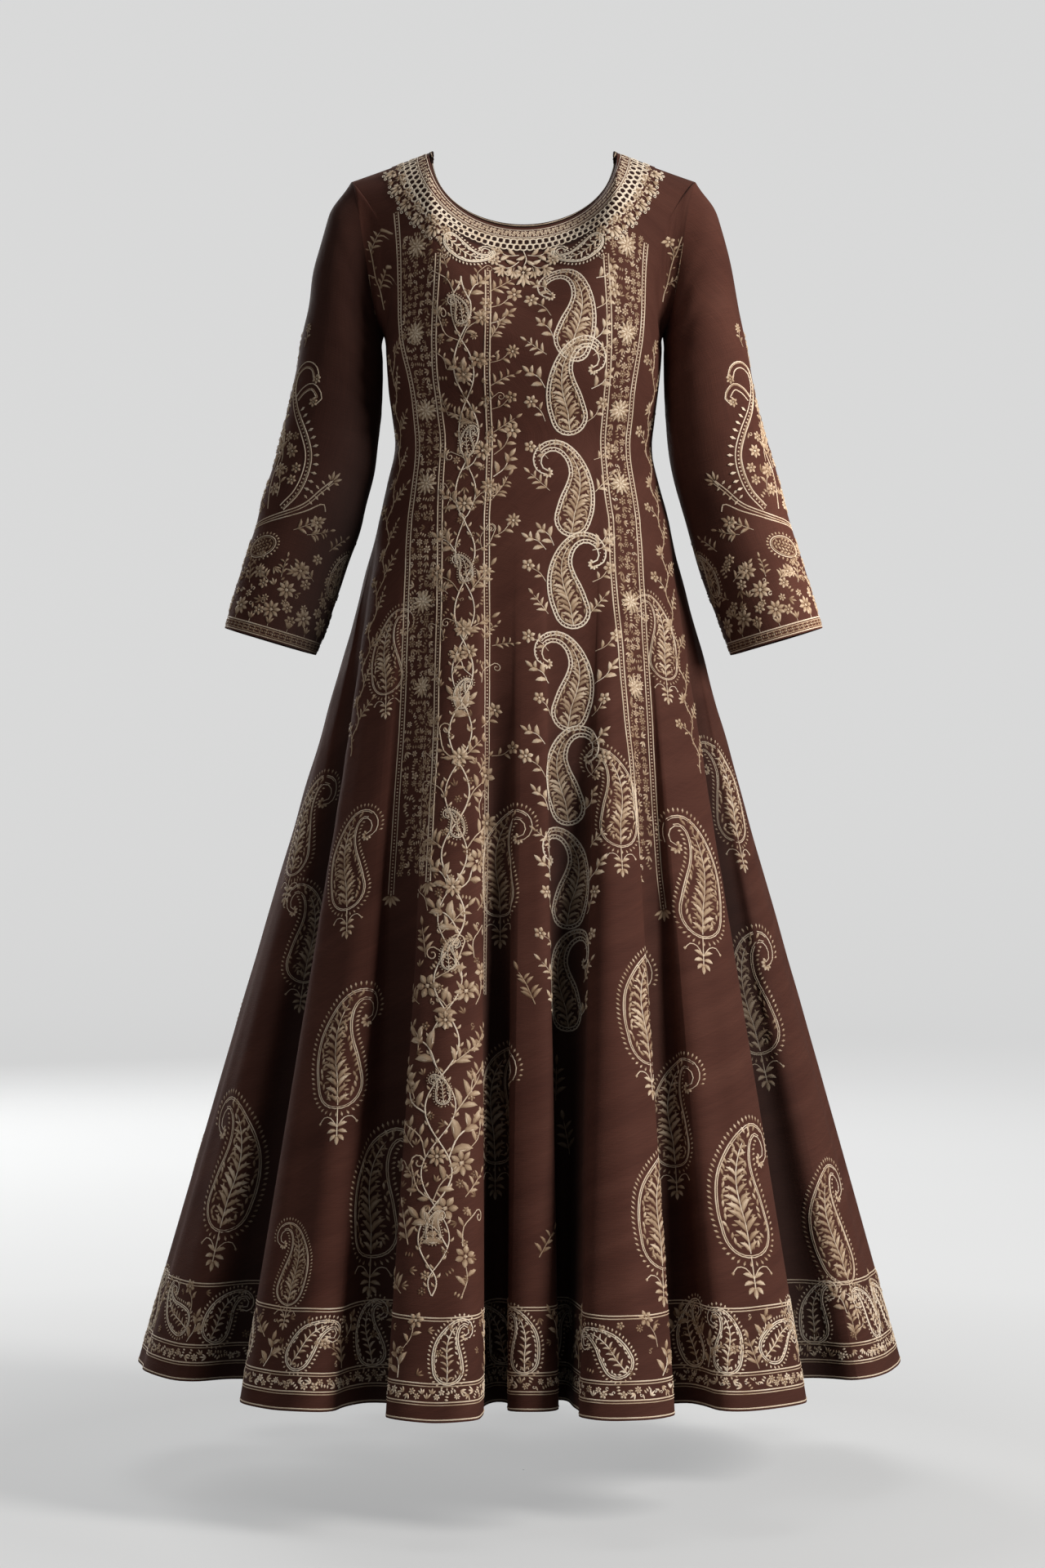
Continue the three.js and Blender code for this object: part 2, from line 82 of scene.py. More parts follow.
# outer x, outer z, inner x, inner z, half depth, shift forward
SLEEVE = np.array([
    (209, -71, 152, -207, 51, -2), (224, -120, 152, -226, 57, -1), (235, -180, 152, -250, 59, 0),
    (247, -245, 153.5, -288, 58, 2), (263, -312, 160, -341, 57, 6), (283, -385, 176, -408, 56, 13),
    (302, -450, 198, -476, 55, 22), (320, -514, 222, -543, 54, 31)], float)


def lerp(a, b, k):
    return a + (b - a) * k


def smooth(k):
    k = np.clip(k, 0, 1)
    return k * k * (3 - 2 * k)


def cubic(start, rise, a, b, k):
    """From start, by a rise, with the slope a at k = 0 and b at k = 1."""
    return start + k * (a + k * (3 * rise - 2 * a - b + k * (a + b - 2 * rise)))


def arc_length(points):
    """The length along a line at each of its points."""
    return np.concatenate([[0], np.cumsum(np.linalg.norm(np.diff(points, axis=0), axis=1))])


def interp_each(at, x, values):
    """Every column of values, given at x, at other places."""
    return np.stack([np.interp(at, x, column) for column in values.T], axis=-1)


def hermite(table, z):
    """The columns of a table at heights z, as smooth curves through its rows."""
    heights = table[:, 0]
    slopes = np.gradient(table, axis=0) / np.gradient(heights)[:, None]
    i = np.clip(np.searchsorted(-heights, -z, side="right"), 1, len(table) - 1)
    span = (heights[i] - heights[i - 1])[..., None]
    k = (z[..., None] - heights[i - 1][..., None]) / span
    return cubic(table[i - 1], table[i] - table[i - 1], slopes[i - 1] * span, slopes[i] * span, k)


def point(x, reach, z):
    return np.stack(np.broadcast_arrays(x, -np.asarray(reach), z), axis=-1)


def bodice(u, z):
    _, half, front, back, square = np.moveaxis(hermite(SECTIONS, z), -1, 0)
    sine, cosine = np.sin(u * PI / 2), np.cos(u * PI / 2)
    x = half * np.sign(sine) * np.abs(sine) ** (2 / square)
    along = np.abs(cosine) ** (2 / square)
    return point(x, np.where(cosine > 0, along * front, along * back), z)


def raw_hem(u):
    """The hem with its folds and with none."""
    first = FOLDS[0, 0]
    turned = first + (u - first) % ROUND
    i = np.searchsorted(FOLDS[:, 0], turned, side="right") - 1
    after = np.vstack([FOLDS[1:], FOLDS[0] + (ROUND, 360, 0)])
    here, next_, before = FOLDS[i], after[i], FOLDS[i - 1]
    k = (turned - here[:, 0]) / (next_[:, 0] - here[:, 0])
    edge = lerp((before[:, 2] + here[:, 2]) / 2, (here[:, 2] + next_[:, 2]) / 2, k)
    radius = edge + (here[:, 2] - edge) * np.sin(PI * k) ** FOLD_FULLNESS
    turn = lerp(here[:, 1], next_[:, 1], (1 - np.cos(PI * k)) / 2)
    angle = np.radians(turn - FOLD_PINCH * np.sin(2 * PI * k))
    plain = np.radians(lerp(here[:, 1], next_[:, 1], k))
    wide = lerp(PLAIN_FRONT, PLAIN_SIDE, np.sin(plain) ** 2)
    return (point(radius * np.sin(angle), radius * np.cos(angle), HEM_Z),
            point(wide * np.sin(plain), wide * np.cos(plain), HEM_Z))


def soft_hem():
    """A table of the hem with its creases rounded: u, arc length, folded points, plain points."""
    u = np.linspace(-2, 2, HEM_PLACES)
    folded, plain = raw_hem(u)
    arc = arc_length(folded)
    steps = np.linspace(0, arc[-1], HEM_STEPS, endpoint=False)
    keep = np.exp(-2 * (PI * np.fft.rfftfreq(len(steps), steps[1]) * FOLD_SOFTNESS) ** 2)
    soft = np.stack([np.fft.irfft(np.fft.rfft(np.interp(steps, arc, column)) * keep, len(steps))
                     for column in folded.T], axis=1)
    return u, arc, interp_each(arc, np.append(steps, arc[-1]), np.vstack([soft, soft[:1]])), plain


HEM_U, HEM_ARC, HEM_FOLDED, HEM_PLAIN = soft_hem()


def wrapped(u):
    """u from -2 to 2."""
    return (u + 2) % ROUND - 2


def at_hem(values, u):
    return interp_each(wrapped(u), HEM_U, values)


def armhole(k, reach, dip):
    swing = np.sin(PI * k)
    return point(lerp(TIP[0], UNDERARM[0], k ** 1.5) - dip * swing, reach * swing,
                 lerp(TIP[1], UNDERARM[1], (1 - np.cos(PI * k)) / 2)
                 + SHOULDER_ROUND * (1 - smooth(k / 0.35)))


def top_edge(w, is_front):
    angle = np.clip(w / NECK_U, 0, 1) * PI / 2
    depth, reach = (np.where(is_front, f, b) for f, b in zip(NECK_FRONT, NECK_BACK))
    neck = point(NECK_HALF * np.sin(angle), reach * np.cos(angle), -depth * np.cos(angle))
    k = np.clip((w - NECK_U) / (TIP_U - NECK_U), 0, 1)
    shoulder = point(lerp(NECK_HALF, TIP[0], k), 0 * k,
                     TIP[1] * k ** 1.05 + SHOULDER_ROUND * k ** 1.8)
    k = np.clip((w - TIP_U) / (1 - TIP_U), 0, 1)
    arm = np.where(is_front[..., None], armhole(k, *ARM_FRONT), armhole(k, *ARM_BACK))
    w = w[..., None]
    return np.where(w <= NECK_U, neck, np.where(w <= TIP_U, shoulder, arm))


def spot(u):
    """Side, whether in front, and distance from the middle."""
    around = wrapped(u)
    is_front = np.abs(around) <= 1
    w = np.where(is_front, np.abs(around), 2 - np.abs(around))
    return np.where(around < 0, -1.0, 1.0), is_front, w


def upper(u, t):
    side, is_front, w = spot(u)
    end = top_edge(w, is_front)
    start = bodice(np.where(is_front, w, 2 - w), np.full_like(w, CHEST_Z))
    over = smooth(w / NECK_U) * (1 - smooth((w - TIP_U) / (1 - TIP_U)))
    still = np.maximum(1 - t ** lerp(1.25, 2.8, over), 0) ** lerp(1.0, 0.6, over)
    return np.stack([side * lerp(start[..., 0], end[..., 0], t ** 3),
                     lerp(end[..., 1], start[..., 1], still),
                     lerp(start[..., 2], end[..., 2], t)], axis=-1)


def skirt(u, v):
    folded, plain = at_hem(HEM_FOLDED, u), at_hem(HEM_PLAIN, u)
    down = (1 - v)[..., None]
    hip = bodice(u, np.full_like(u, HIP_Z))
    return lerp(plain, hip, 1 - down) + (folded - plain) * down ** FOLD_ONSET


def body(u, v):
    """Points of the form, in metres."""
    u, v = np.broadcast_arrays(np.asarray(u, float), np.asarray(v, float))
    low = skirt(u, np.clip(v, 0, 1))
    mid = bodice(u, lerp(HIP_Z, CHEST_Z, np.clip(v - 1, 0, 1)))
    top = upper(u, np.clip(v - 2, 0, 1))
    v = v[..., None]
    return np.where(v <= 1, low, np.where(v <= 2, mid, top)) * MM


PANELS = {
    "front_left": (0, 0.6), "front_right": (-0.6, 0), "front_side_left": (0.6, 1),
    "front_side_right": (-1, -0.6), "back_left": (1.4, 2), "back_right": (-2, -1.4),
    "back_side_left": (1, 1.4), "back_side_right": (-1.4, -1),
}

# ---- Surfaces ------------------------------------------------------------------------------------


def unit(a):
    return a / np.maximum(np.linalg.norm(a, axis=-1, keepdims=True), 1e-12)


class Surface:
    """A grid of points with its columns' and rows' own numbers, on which flat work is laid."""

    def __init__(self, columns, rows, points):
        self.columns, self.rows, self.points = columns, rows, points
        self.find_normals()
        self.measure()

    def find_normals(self):
        self.normals = unit(np.cross(np.gradient(self.points, axis=1),
                                     np.gradient(self.points, axis=0)))

    def measure(self):
        p = self.points
        steps = np.linalg.norm(np.diff(p, axis=1), axis=2)
        self.across = np.concatenate([np.zeros((len(p), 1)), np.cumsum(steps, axis=1)], axis=1)
        steps = np.linalg.norm(np.diff(p, axis=0), axis=2)
        self.up = np.concatenate([np.zeros((1, p.shape[1])), np.cumsum(steps, axis=0)])

    def index(self, u, v):
        return (np.interp(u, self.columns, np.arange(len(self.columns))),
                np.interp(v, self.rows, np.arange(len(self.rows))))

    def sample(self, grid, c, r):
        c0 = np.clip(np.floor(c).astype(int), 0, grid.shape[1] - 2)
        r0 = np.clip(np.floor(r).astype(int), 0, grid.shape[0] - 2)
        fc, fr = c - c0, r - r0
        if grid.ndim == 3:
            fc, fr = fc[..., None], fr[..., None]
        return ((grid[r0, c0] * (1 - fc) + grid[r0, c0 + 1] * fc) * (1 - fr)
                + (grid[r0 + 1, c0] * (1 - fc) + grid[r0 + 1, c0 + 1] * fc) * fr)

    def at(self, c, r):
        """Points and normals."""
        return self.sample(self.points, c, r), unit(self.sample(self.normals, c, r))

    def lay(self, u, v, flat, lift, turn=0.0):
        """Flat points in metres, x to the wearer's left and y up the cloth, laid from (u, v)."""
        c, r = self.index(u, v)
        c, r = np.array(c), np.array(r)
        here = self.sample(self.points, c, r)
        left = unit(self.sample(self.points, c + 0.5, r) - here)
        up = unit(self.sample(self.points, c, r + 0.5) - here)
        g = float(left @ up)
        cosine, sine = math.cos(turn), math.sin(turn)
        x = flat[:, 0] * cosine - flat[:, 1] * sine
        y = flat[:, 0] * sine + flat[:, 1] * cosine
        x = x / math.sqrt(1 - g * g)
        y = y - x * g
        c0 = int(min(max(np.floor(c), 0), self.points.shape[1] - 2))
        f = float(c) - c0
        heights = self.up[:, c0] * (1 - f) + self.up[:, c0 + 1] * f
        base = np.interp(r, np.arange(len(heights)), heights)
        rows = np.interp(base + y, heights, np.arange(len(heights)))
        r0 = np.clip(np.floor(rows).astype(int), 0, len(heights) - 2)
        fr = rows - r0

        def length(column):
            return self.across[r0, column] * (1 - fr) + self.across[r0 + 1, column] * fr

        wanted = length(c0) * (1 - f) + length(c0 + 1) * f + x
        low = np.zeros(len(flat), int)
        high = np.full(len(flat), self.points.shape[1] - 1)
        while (high - low > 1).any():
            middle = (low + high) // 2
            past = length(middle) > wanted
            high, low = np.where(past, middle, high), np.where(past, low, middle)
        a, b = length(low), length(high)
        columns = low + np.clip((wanted - a) / np.maximum(b - a, 1e-9), 0, 1)
        points, normals = self.at(columns, rows)
        return points + normals * lift[:, None]


def crease(grid, path, width, depth):
    """A dent near a path of points; less towards the path's ends."""
    total = len(path) - 1
    best = np.full(grid.shape[:2], 1e9)
    along = np.zeros(grid.shape[:2])
    for i in range(total):
        d = path[i + 1] - path[i]
        t = np.clip(((grid - path[i]) @ d) / (d @ d), 0, 1)
        distance = np.linalg.norm(grid - path[i] - t[..., None] * d, axis=-1)
        near = distance < best
        best = np.where(near, distance, best)
        along = np.where(near, (i + t) / total, along)
    near = (best / width) ** 2
    fade = np.sin(PI * np.clip(along, 0.02, 0.98)) ** 0.7
    return depth * (1.35 - near) * np.exp(-near) / 1.35 * fade


HEM_STEP_FRONT, HEM_STEP_BACK = 7.0, 9.5  # millimetres between columns at the hem
COLUMNS_PER_U = 26  # at least


def body_columns():
    """Columns so placed that they are about even at the hem and fall on every seam."""
    keys = sorted({0.0, 1.0, -1.0, *(s * w for w in (NECK_U, PRINCESS_U, TIP_U) for s in (1, -1)),
                   *(s * (2 - w) for w in (0, NECK_U, PRINCESS_U, TIP_U) for s in (1, -1))})
    columns = []
    for a, b in zip(keys[:-1], keys[1:]):
        fine = np.linspace(a, b, 400)
        arc = np.interp(fine, HEM_U, HEM_ARC)
        step = HEM_STEP_FRONT if abs(a + b) < 1.9 else HEM_STEP_BACK
        count = max(4, round((arc[-1] - arc[0]) / step), round((b - a) * COLUMNS_PER_U))
        blend = 0.85 * (arc - arc[0]) / (arc[-1] - arc[0]) + 0.15 * (fine - a) / (b - a)
        columns += list(np.interp(np.arange(count) / count, blend, fine))
    return np.array(columns + [2.0])


SHOULDER_S = np.linspace(0, 1, 31)[1:]
ROWS = np.concatenate([np.linspace(0, 1, 88, endpoint=False), np.linspace(1, 2, 22),
                       2 + 1 - (1 - SHOULDER_S) ** 1.5])
COLUMNS = body_columns()


def make_body():
    """The body's surface from u = -2.4 to 2.4, so that work can be laid across centre back."""
    inner = COLUMNS[:-1]
    wide = np.concatenate([inner[inner > 1.6] - 4, inner, inner[inner < -1.6] + 4])
    points = body(wide[None, :], ROWS[:, None])
    return Surface(wide, ROWS, points)


def fix_normals(surface):
    """Turns the normals near the shoulder seams so that front and back meet there."""
    w = spot(surface.columns)[2]
    top = surface.normals[-1]
    shoulder = (w >= NECK_U) & (w <= TIP_U)
    for back in range(1, 4):
        row = surface.normals[-back]
        row[shoulder, 1] *= (back - 1) / 3
        surface.normals[-back] = unit(row)
    surface.normals[-1] = unit(top)


def dents(surface, creases):
    """How far creases push the cloth in, in metres along its normals; each has its path on the
    surface, its width and its depth in millimetres."""
    push = np.zeros(surface.points.shape[:2])
    for path, width, depth in creases:
        c, r = surface.index(*np.array(path, float).T)
        push += crease(surface.points, surface.sample(surface.points, c, r), width * MM, depth * MM)
    return push


def waver(points, lengths, size):
    """A soft unevenness of the cloth, from waves of the given lengths in millimetres."""
    push = np.zeros(points.shape[:2])
    for length in lengths:
        way = rng.normal(size=3)
        way *= 2 * PI / (length * MM * np.linalg.norm(way))
        push += np.sin(points @ way + rng.uniform(0, 2 * PI))
    return push * size * MM


def press(surface, push):
    surface.points = surface.points + surface.normals * push[..., None]
    surface.find_normals()
    surface.measure()


def body_wrinkles():
    drag = [([(0.96, 1.62), (0.8, 1.55), (0.62, 1.6)], 8, -1.8),
            ([(0.97, 1.38), (0.82, 1.42), (0.66, 1.33)], 7, -1.5),
            ([(0.95, 1.16), (0.8, 1.2), (0.64, 1.1)], 9, -1.6),
            ([(0.93, 2.3), (0.8, 2.32), (0.72, 2.45)], 8, -2.4),
            ([(0.96, 2.08), (0.8, 2.05), (0.66, 2.12)], 8, -1.8),
            ([(0.3, 1.75), (0.22, 1.6), (0.1, 1.58)], 9, -1.0),
            ([(1.06, 1.58), (1.22, 1.5), (1.4, 1.54)], 8, -1.8),
            ([(1.06, 1.3), (1.25, 1.35), (1.42, 1.27)], 9, -1.6),
            ([(1.08, 2.25), (1.2, 2.3), (1.28, 2.42)], 8, -2.2),
            ([(1.62, 1.42), (1.8, 1.34), (1.97, 1.38)], 10, -1.8)]
    both = drag + [([(-u, v + 0.04 * math.sin(9 * u)) for u, v in path], width, depth * 0.85)
                   for path, width, depth in drag]
    v = BODY.rows[:, None]
    still = 1 - smooth((v - 2.2) / 0.3)  # the yoke and the armholes stay as they are
    push = dents(BODY, both) * (1 - smooth((v - 2.45) / 0.3))
    push += waver(BODY.points, (52, 66, 80, 95, 120), 0.3) * still * smooth((v - 0.2) / 0.8)
    arc = np.interp(wrapped(BODY.columns), HEM_U, HEM_ARC) * 2 * PI / HEM_ARC[-1]
    down = np.clip(1 - v, 0, 1)
    for waves, size, twist in ((37, 1.7, 1.4), (55, 1.1, -2.2), (74, 0.6, 3.0)):
        push += size * MM * down ** 1.2 * np.sin(waves * arc + twist * (1 + 2 * down))
    press(BODY, push)


BODY = make_body()
body_wrinkles()
fix_normals(BODY)


def sleeve_surface(side):
    """The sleeve's grid. Round it, 0 is the outer fold, 0.25 the front, 0.5 the inner fold and
    0.75 the back on the right sleeve; the left one's numbers run the other way. Rows count from
    the cuff."""
    count = 64
    turn = np.linspace(-0.25, 1.25, int(count * 1.5) + 1)
    around = turn % 1 if side < 0 else (1 - turn) % 1
    k = np.where(around <= 0.5, around * 2, 2 - around * 2)
    is_front = around <= 0.5
    seam = np.where(is_front[:, None], armhole(k, *ARM_FRONT), armhole(k, *ARM_BACK))
    rings = [seam]
    for row in SLEEVE:
        along = (1 - np.cos(PI * k)) / 2
        reach = row[4] * np.sin(PI * k) ** 0.9 * np.where(is_front, 1, -1) + row[5]
        rings.append(point(lerp(row[0], row[2], along), reach, lerp(row[1], row[3], along)))
    rings = np.array(rings)[::-1]
    s = np.concatenate([np.linspace(0, 7, 56, endpoint=False), np.linspace(7, 8, 9)])
    i = np.clip(np.floor(s).astype(int), 0, 7)
    slope = np.gradient(rings, axis=0)
    points = cubic(rings[i], rings[i + 1] - rings[i], slope[i], slope[i + 1],
                   (s - i)[:, None, None])
    points[..., 0] *= side
    return Surface(turn, s, points * MM)


def sleeve_wrinkles(side):
    surface = SLEEVES[side]
    creases = [([(0.5, 4.35), (0.36, 4.7), (0.2, 4.85)], 7, -2.4),
               ([(0.5, 4.1), (0.38, 4.1), (0.24, 4.25)], 7, -2.6),
               ([(0.5, 3.8), (0.38, 3.55), (0.25, 3.4)], 7, -2.0),
               ([(0.5, 6.75), (0.34, 6.7), (0.16, 6.95)], 8, -2.4),
               ([(0.47, 6.2), (0.33, 6.0), (0.2, 6.1)], 8, -1.8),
               ([(0.5, 5.5), (0.37, 5.35), (0.25, 5.5)], 9, -1.5),
               ([(0.5, 2.5), (0.38, 2.75), (0.27, 2.8)], 8, -1.4),
               ([(0.42, 1.4), (0.34, 1.65), (0.25, 1.75)], 8, -1.0),
               ([(0.52, 4.3), (0.66, 4.6), (0.8, 4.7)], 8, -2.2),
               ([(0.52, 3.9), (0.66, 3.85), (0.8, 4.0)], 8, -2.0),
               ([(0.52, 6.6), (0.66, 6.6), (0.82, 6.9)], 8, -2.0),
               ([(0.52, 2.3), (0.66, 2.5), (0.78, 2.45)], 8, -1.3)]
    if side > 0:
        creases = [([(1 - a, row + 0.12 * math.sin(5 * row)) for a, row in path], width,
                    depth * 0.9) for path, width, depth in creases]
    seam = np.clip((8 - surface.rows) / 0.9, 0, 1)[:, None]
    push = dents(surface, creases) + waver(surface.points, (45, 60, 80, 110), 0.35)
    away = np.abs((surface.columns + 0.5) % 1 - 0.5)
    head = np.exp(-((surface.rows[:, None] - 7.35) / 0.45) ** 2 - (away / 0.17) ** 2)
    press(surface, (push + 3.5 * MM * head) * seam)


SLEEVES = {1: sleeve_surface(1), -1: sleeve_surface(-1)}
for side in SLEEVES:
    sleeve_wrinkles(side)

# ---- Meshes --------------------------------------------------------------------------------------


def quads(index, flip=False):
    """Four-sided faces between the points of a grid, from their numbers."""
    made = np.stack([index[:-1, :-1], index[:-1, 1:], index[1:, 1:], index[1:, :-1]], axis=-1)
    return made.reshape(-1, 4)[:, ::-1 if flip else 1]


def mesh_object(name, points, faces, material, attributes=None):
    mesh = bpy.data.meshes.new(name)
    faces = np.asarray(faces)
    mesh.vertices.add(len(points))
    mesh.vertices.foreach_set("co", np.asarray(points, np.float32).ravel())
    size = faces.shape[1]
    mesh.loops.add(faces.size)
    mesh.loops.foreach_set("vertex_index", faces.astype(np.int32).ravel())
    mesh.polygons.add(len(faces))
    mesh.polygons.foreach_set("loop_start", np.arange(0, faces.size, size, dtype=np.int32))
    mesh.materials.append(material)
    for key, values in (attributes or {}).items():
        mesh.attributes.new(key, "FLOAT", "POINT").data.foreach_set(
            "value", np.asarray(values, np.float32))
    mesh.update(calc_edges=True)
    mesh.validate()
    mesh.shade_smooth()
    made = bpy.data.objects.new(name, mesh)
    bpy.context.scene.collection.objects.link(made)
    return made


INSIDE_TONE = 0.6  # the cloth's wrong side is duller
SHARP_ANGLE = 60
# Painted shade deep in the skirt's folds: how much it darkens at most, and the fold depth in
# millimetres at which it does.
FOLD_DARKNESS, FOLD_DEPTH = 0.75, 48  # the loss of tone in a fold that many millimetres deep


def painted_fold_shade(points):
    """Painted shade: how dark each place is, with cloth and thread darker deep in the skirt's
    folds, where shade falls."""
    x, y, z = np.asarray(points).T / MM
    down = np.clip((HIP_Z - z) / (HIP_Z - HEM_Z), 0, 1)
    hip_half, hip_front, hip_back = SECTIONS[-1, 1:4]
    turn = np.arctan2(x, -y)
    reach = np.where(y < 0, hip_front, hip_back)
    hip = 1 / np.sqrt((np.sin(turn) / hip_half) ** 2 + (np.cos(turn) / reach) ** 2)
    wide = lerp(PLAIN_FRONT, PLAIN_SIDE, np.sin(turn) ** 2)
    depth = (lerp(hip, wide, down) - np.hypot(x, y)) / (0.3 + 0.7 * down)
    return 1 - FOLD_DARKNESS * smooth((depth - 2) / FOLD_DEPTH) * smooth(down * 3)


def shell(name, outside, inside, material, grain, tone=1.0, wrap=False):
    """A closed thin wall between two grids of points. Grain is where each point lies on the cloth,
    and tone darkens it."""
    rows, columns = outside.shape[:2]
    index = np.arange(rows * columns).reshape(rows, columns)
    if wrap:
        index = np.hstack([index, index[:, :1]])
    under = index + rows * columns
    faces = [quads(index), quads(under, True), quads(np.stack([under[0], index[0]])),
             quads(np.stack([index[-1], under[-1]]))]
    if not wrap:
        faces += [quads(np.stack([under[:, 0], index[:, 0]]), True),
                  quads(np.stack([index[:, -1], under[:, -1]]), True)]
    points = np.concatenate([outside.reshape(-1, 3), inside.reshape(-1, 3)])
    grain = np.tile(grain.reshape(-1, 2), (2, 1))
    # the body's panels get painted shade deep in the skirt's folds
    tone = tone if wrap else painted_fold_shade(points) * tone
    tone = np.broadcast_to(tone, len(points)).copy()
    tone[len(tone) // 2:] *= INSIDE_TONE
    made = mesh_object(name, points, np.concatenate(faces), material,
                       {"along": grain[:, 0], "up": grain[:, 1], "tone": tone})
    made.data.set_sharp_from_angle(angle=math.radians(SHARP_ANGLE))
    return made


# ---- Materials -----------------------------------------------------------------------------------


SHEEN_ROUGHNESS, SPECULAR = 0.45, 0.16


class Look:
    """A material and short ways to add nodes to it."""

    def __init__(self, name, roughness, sheen=0.0, sheen_tint=(1, 1, 1)):
        self.made = bpy.data.materials.new(name)
        self.made.use_nodes = True
        self.tree = self.made.node_tree
        self.shader = self.tree.nodes["Principled BSDF"]
        for socket, value in (("Roughness", roughness), ("Sheen Weight", sheen),
                              ("Sheen Roughness", SHEEN_ROUGHNESS),
                              ("Sheen Tint", (*sheen_tint, 1)), ("Specular IOR Level", SPECULAR)):
            self.shader.inputs[socket].default_value = value

    def node(self, kind, **values):
        made = self.tree.nodes.new(kind)
        for key, value in values.items():
            if hasattr(made, key):
                setattr(made, key, value)
            else:
                made.inputs[key.replace("_", " ")].default_value = value
        return made

    def link(self, source, target):
        self.tree.links.new(source, target)

    def place(self):
        return self.node("ShaderNodeTexCoord").outputs["Object"]

    def color(self, source):
        self.link(source, self.shader.inputs["Base Color"])

    def attribute(self, name):
        return self.node("ShaderNodeAttribute", attribute_name=name).outputs["Fac"]

    def math(self, operation, a, b):
        made = self.node("ShaderNodeMath", operation=operation)
        for i, value in enumerate((a, b)):
            if isinstance(value, (int, float)):
                made.inputs[i].default_value = value
            else:
                self.link(value, made.inputs[i])
        return made.outputs[0]

    def scaled(self, value, factor, added):
        return self.math("ADD", self.math("MULTIPLY", value, factor), added)

    def noise(self, coordinates, scale, detail=2.0, stretch=(1, 1, 1)):
        mapping = self.node("ShaderNodeMapping", Scale=stretch)
        self.link(coordinates, mapping.inputs["Vector"])
        made = self.node("ShaderNodeTexNoise", Scale=scale, Detail=detail)
        self.link(mapping.outputs[0], made.inputs["Vector"])
        return made.outputs["Fac"]

    def ramp(self, factor, *stops):
        made = self.node("ShaderNodeValToRGB")
        elements = made.color_ramp.elements
        elements[0].position, elements[0].color = stops[0][0], (*stops[0][1], 1)
        elements[1].position, elements[1].color = stops[-1][0], (*stops[-1][1], 1)
        for place, color in stops[1:-1]:
            elements.new(place).color = (*color, 1)
        self.link(factor, made.inputs[0])
        return made.outputs[0]

    def times(self, color, factor):
        made = self.node("ShaderNodeVectorMath", operation="SCALE")
        self.link(color, made.inputs[0])
        self.link(factor, made.inputs["Scale"])
        return made.outputs[0]

    def bump(self, height, distance, strength=1.0):
        made = self.node("ShaderNodeBump", Strength=strength, Distance=distance)
        self.link(height, made.inputs["Height"])
        self.link(made.outputs[0], self.shader.inputs["Normal"])


def cloth_look():
    """Brown crepe: uneven threads both ways, a soft mottle and a fine dull grain."""
    look = Look("brown_crepe", 0.82, 0.06, (0.75, 0.5, 0.4))
    grain = look.node("ShaderNodeCombineXYZ")
    look.link(look.attribute("along"), grain.inputs[0])
    look.link(look.attribute("up"), grain.inputs[1])
    grain = grain.outputs[0]
    mottle = look.noise(grain, 14, 3)
    weft = look.noise(grain, 1, 2, (38, 1500, 1))
    warp = look.noise(grain, 1, 2, (1500, 30, 1))
    streak = look.noise(grain, 1, 3, (90, 5, 1))
    color = look.ramp(mottle, (0.32, (0.081, 0.027, 0.018)), (0.5, (0.095, 0.033, 0.022)),
                      (0.7, (0.11, 0.04, 0.027)))
    threads = look.math("ADD", look.math("MULTIPLY", weft, 0.5), look.math("MULTIPLY", warp, 0.5))
    tone = look.math("MULTIPLY", look.scaled(threads, 0.8, 0.36), look.scaled(streak, 0.3, 1.05))
    # tone holds the cloth's own darker border, darker yoke ground under the net and duller wrong
    # side, and also painted shade in the skirt's folds and painted light and shade on the sleeves
    tone = look.math("MULTIPLY", tone, look.attribute("tone"))
    look.color(look.times(color, tone))
    look.bump(threads, 0.5 * MM, 0.8)
    return look.made


def thread_look():
    """Twisted thread, from bronze to cream by the shade of each stitch."""
    look = Look("twisted_thread", 0.55, 0.12, (1, 0.9, 0.75))
    place = look.place()
    fine = look.noise(place, 1700, 2)
    patch = look.noise(place, 60, 2)
    shade = look.math("ADD", look.attribute("shade"),
                      look.math("MULTIPLY", look.math("SUBTRACT", patch, 0.5), 0.5))
    color = look.ramp(shade, (0.0, (0.1, 0.05, 0.028)), (0.3, (0.24, 0.135, 0.075)),
                      (0.6, (0.52, 0.365, 0.235)), (0.85, (0.86, 0.69, 0.51)),
                      (1.0, (0.98, 0.84, 0.67)))
    # tone holds painted shade in the skirt's folds and painted light and shade on the sleeves
    tone = look.math("MULTIPLY", look.scaled(fine, 0.7, 0.65), look.attribute("tone"))
    look.color(look.times(color, tone))
    look.bump(fine, 0.4 * MM, 0.9)
    return look.made


def piping_look():
    look = Look("dark_piping", 0.8, 0.02, (0.6, 0.45, 0.4))
    place = look.place()
    fine = look.noise(place, 1300, 2)
    color = look.ramp(fine, (0.3, (0.016, 0.007, 0.005)), (0.7, (0.036, 0.016, 0.011)))
    look.color(color)
    look.bump(fine, 0.4 * MM, 0.8)
    return look.made


CLOTH, THREAD, PIPING = cloth_look(), thread_look(), piping_look()

# ---- Flat embroidery -----------------------------------------------------------------------------

FACES = {}


def section_faces(count, start, end, closed):
    """Triangles between sections of a left, a crest and a right point; a tapered end is one
    point."""
    key = (count, start, end, closed)
    if key not in FACES:
        index, used = [], 0
        for i in range(count):
            if (i == 0 and start) or (i == count - 1 and end):
                index.append([used] * 3)
                used += 1
            else:
                index.append([used, used + 1, used + 2])
                used += 3
        if closed:
            index.append(index[0])
        faces = []
        for (l0, c0, r0), (l1, c1, r1) in zip(index[:-1], index[1:]):
            faces += [(c0, c1, l1), (c0, l1, l0), (r0, r1, c1), (r0, c1, c0)]
        FACES[key] = np.array([f for f in faces if len(set(f)) == 3]), used
    return FACES[key]


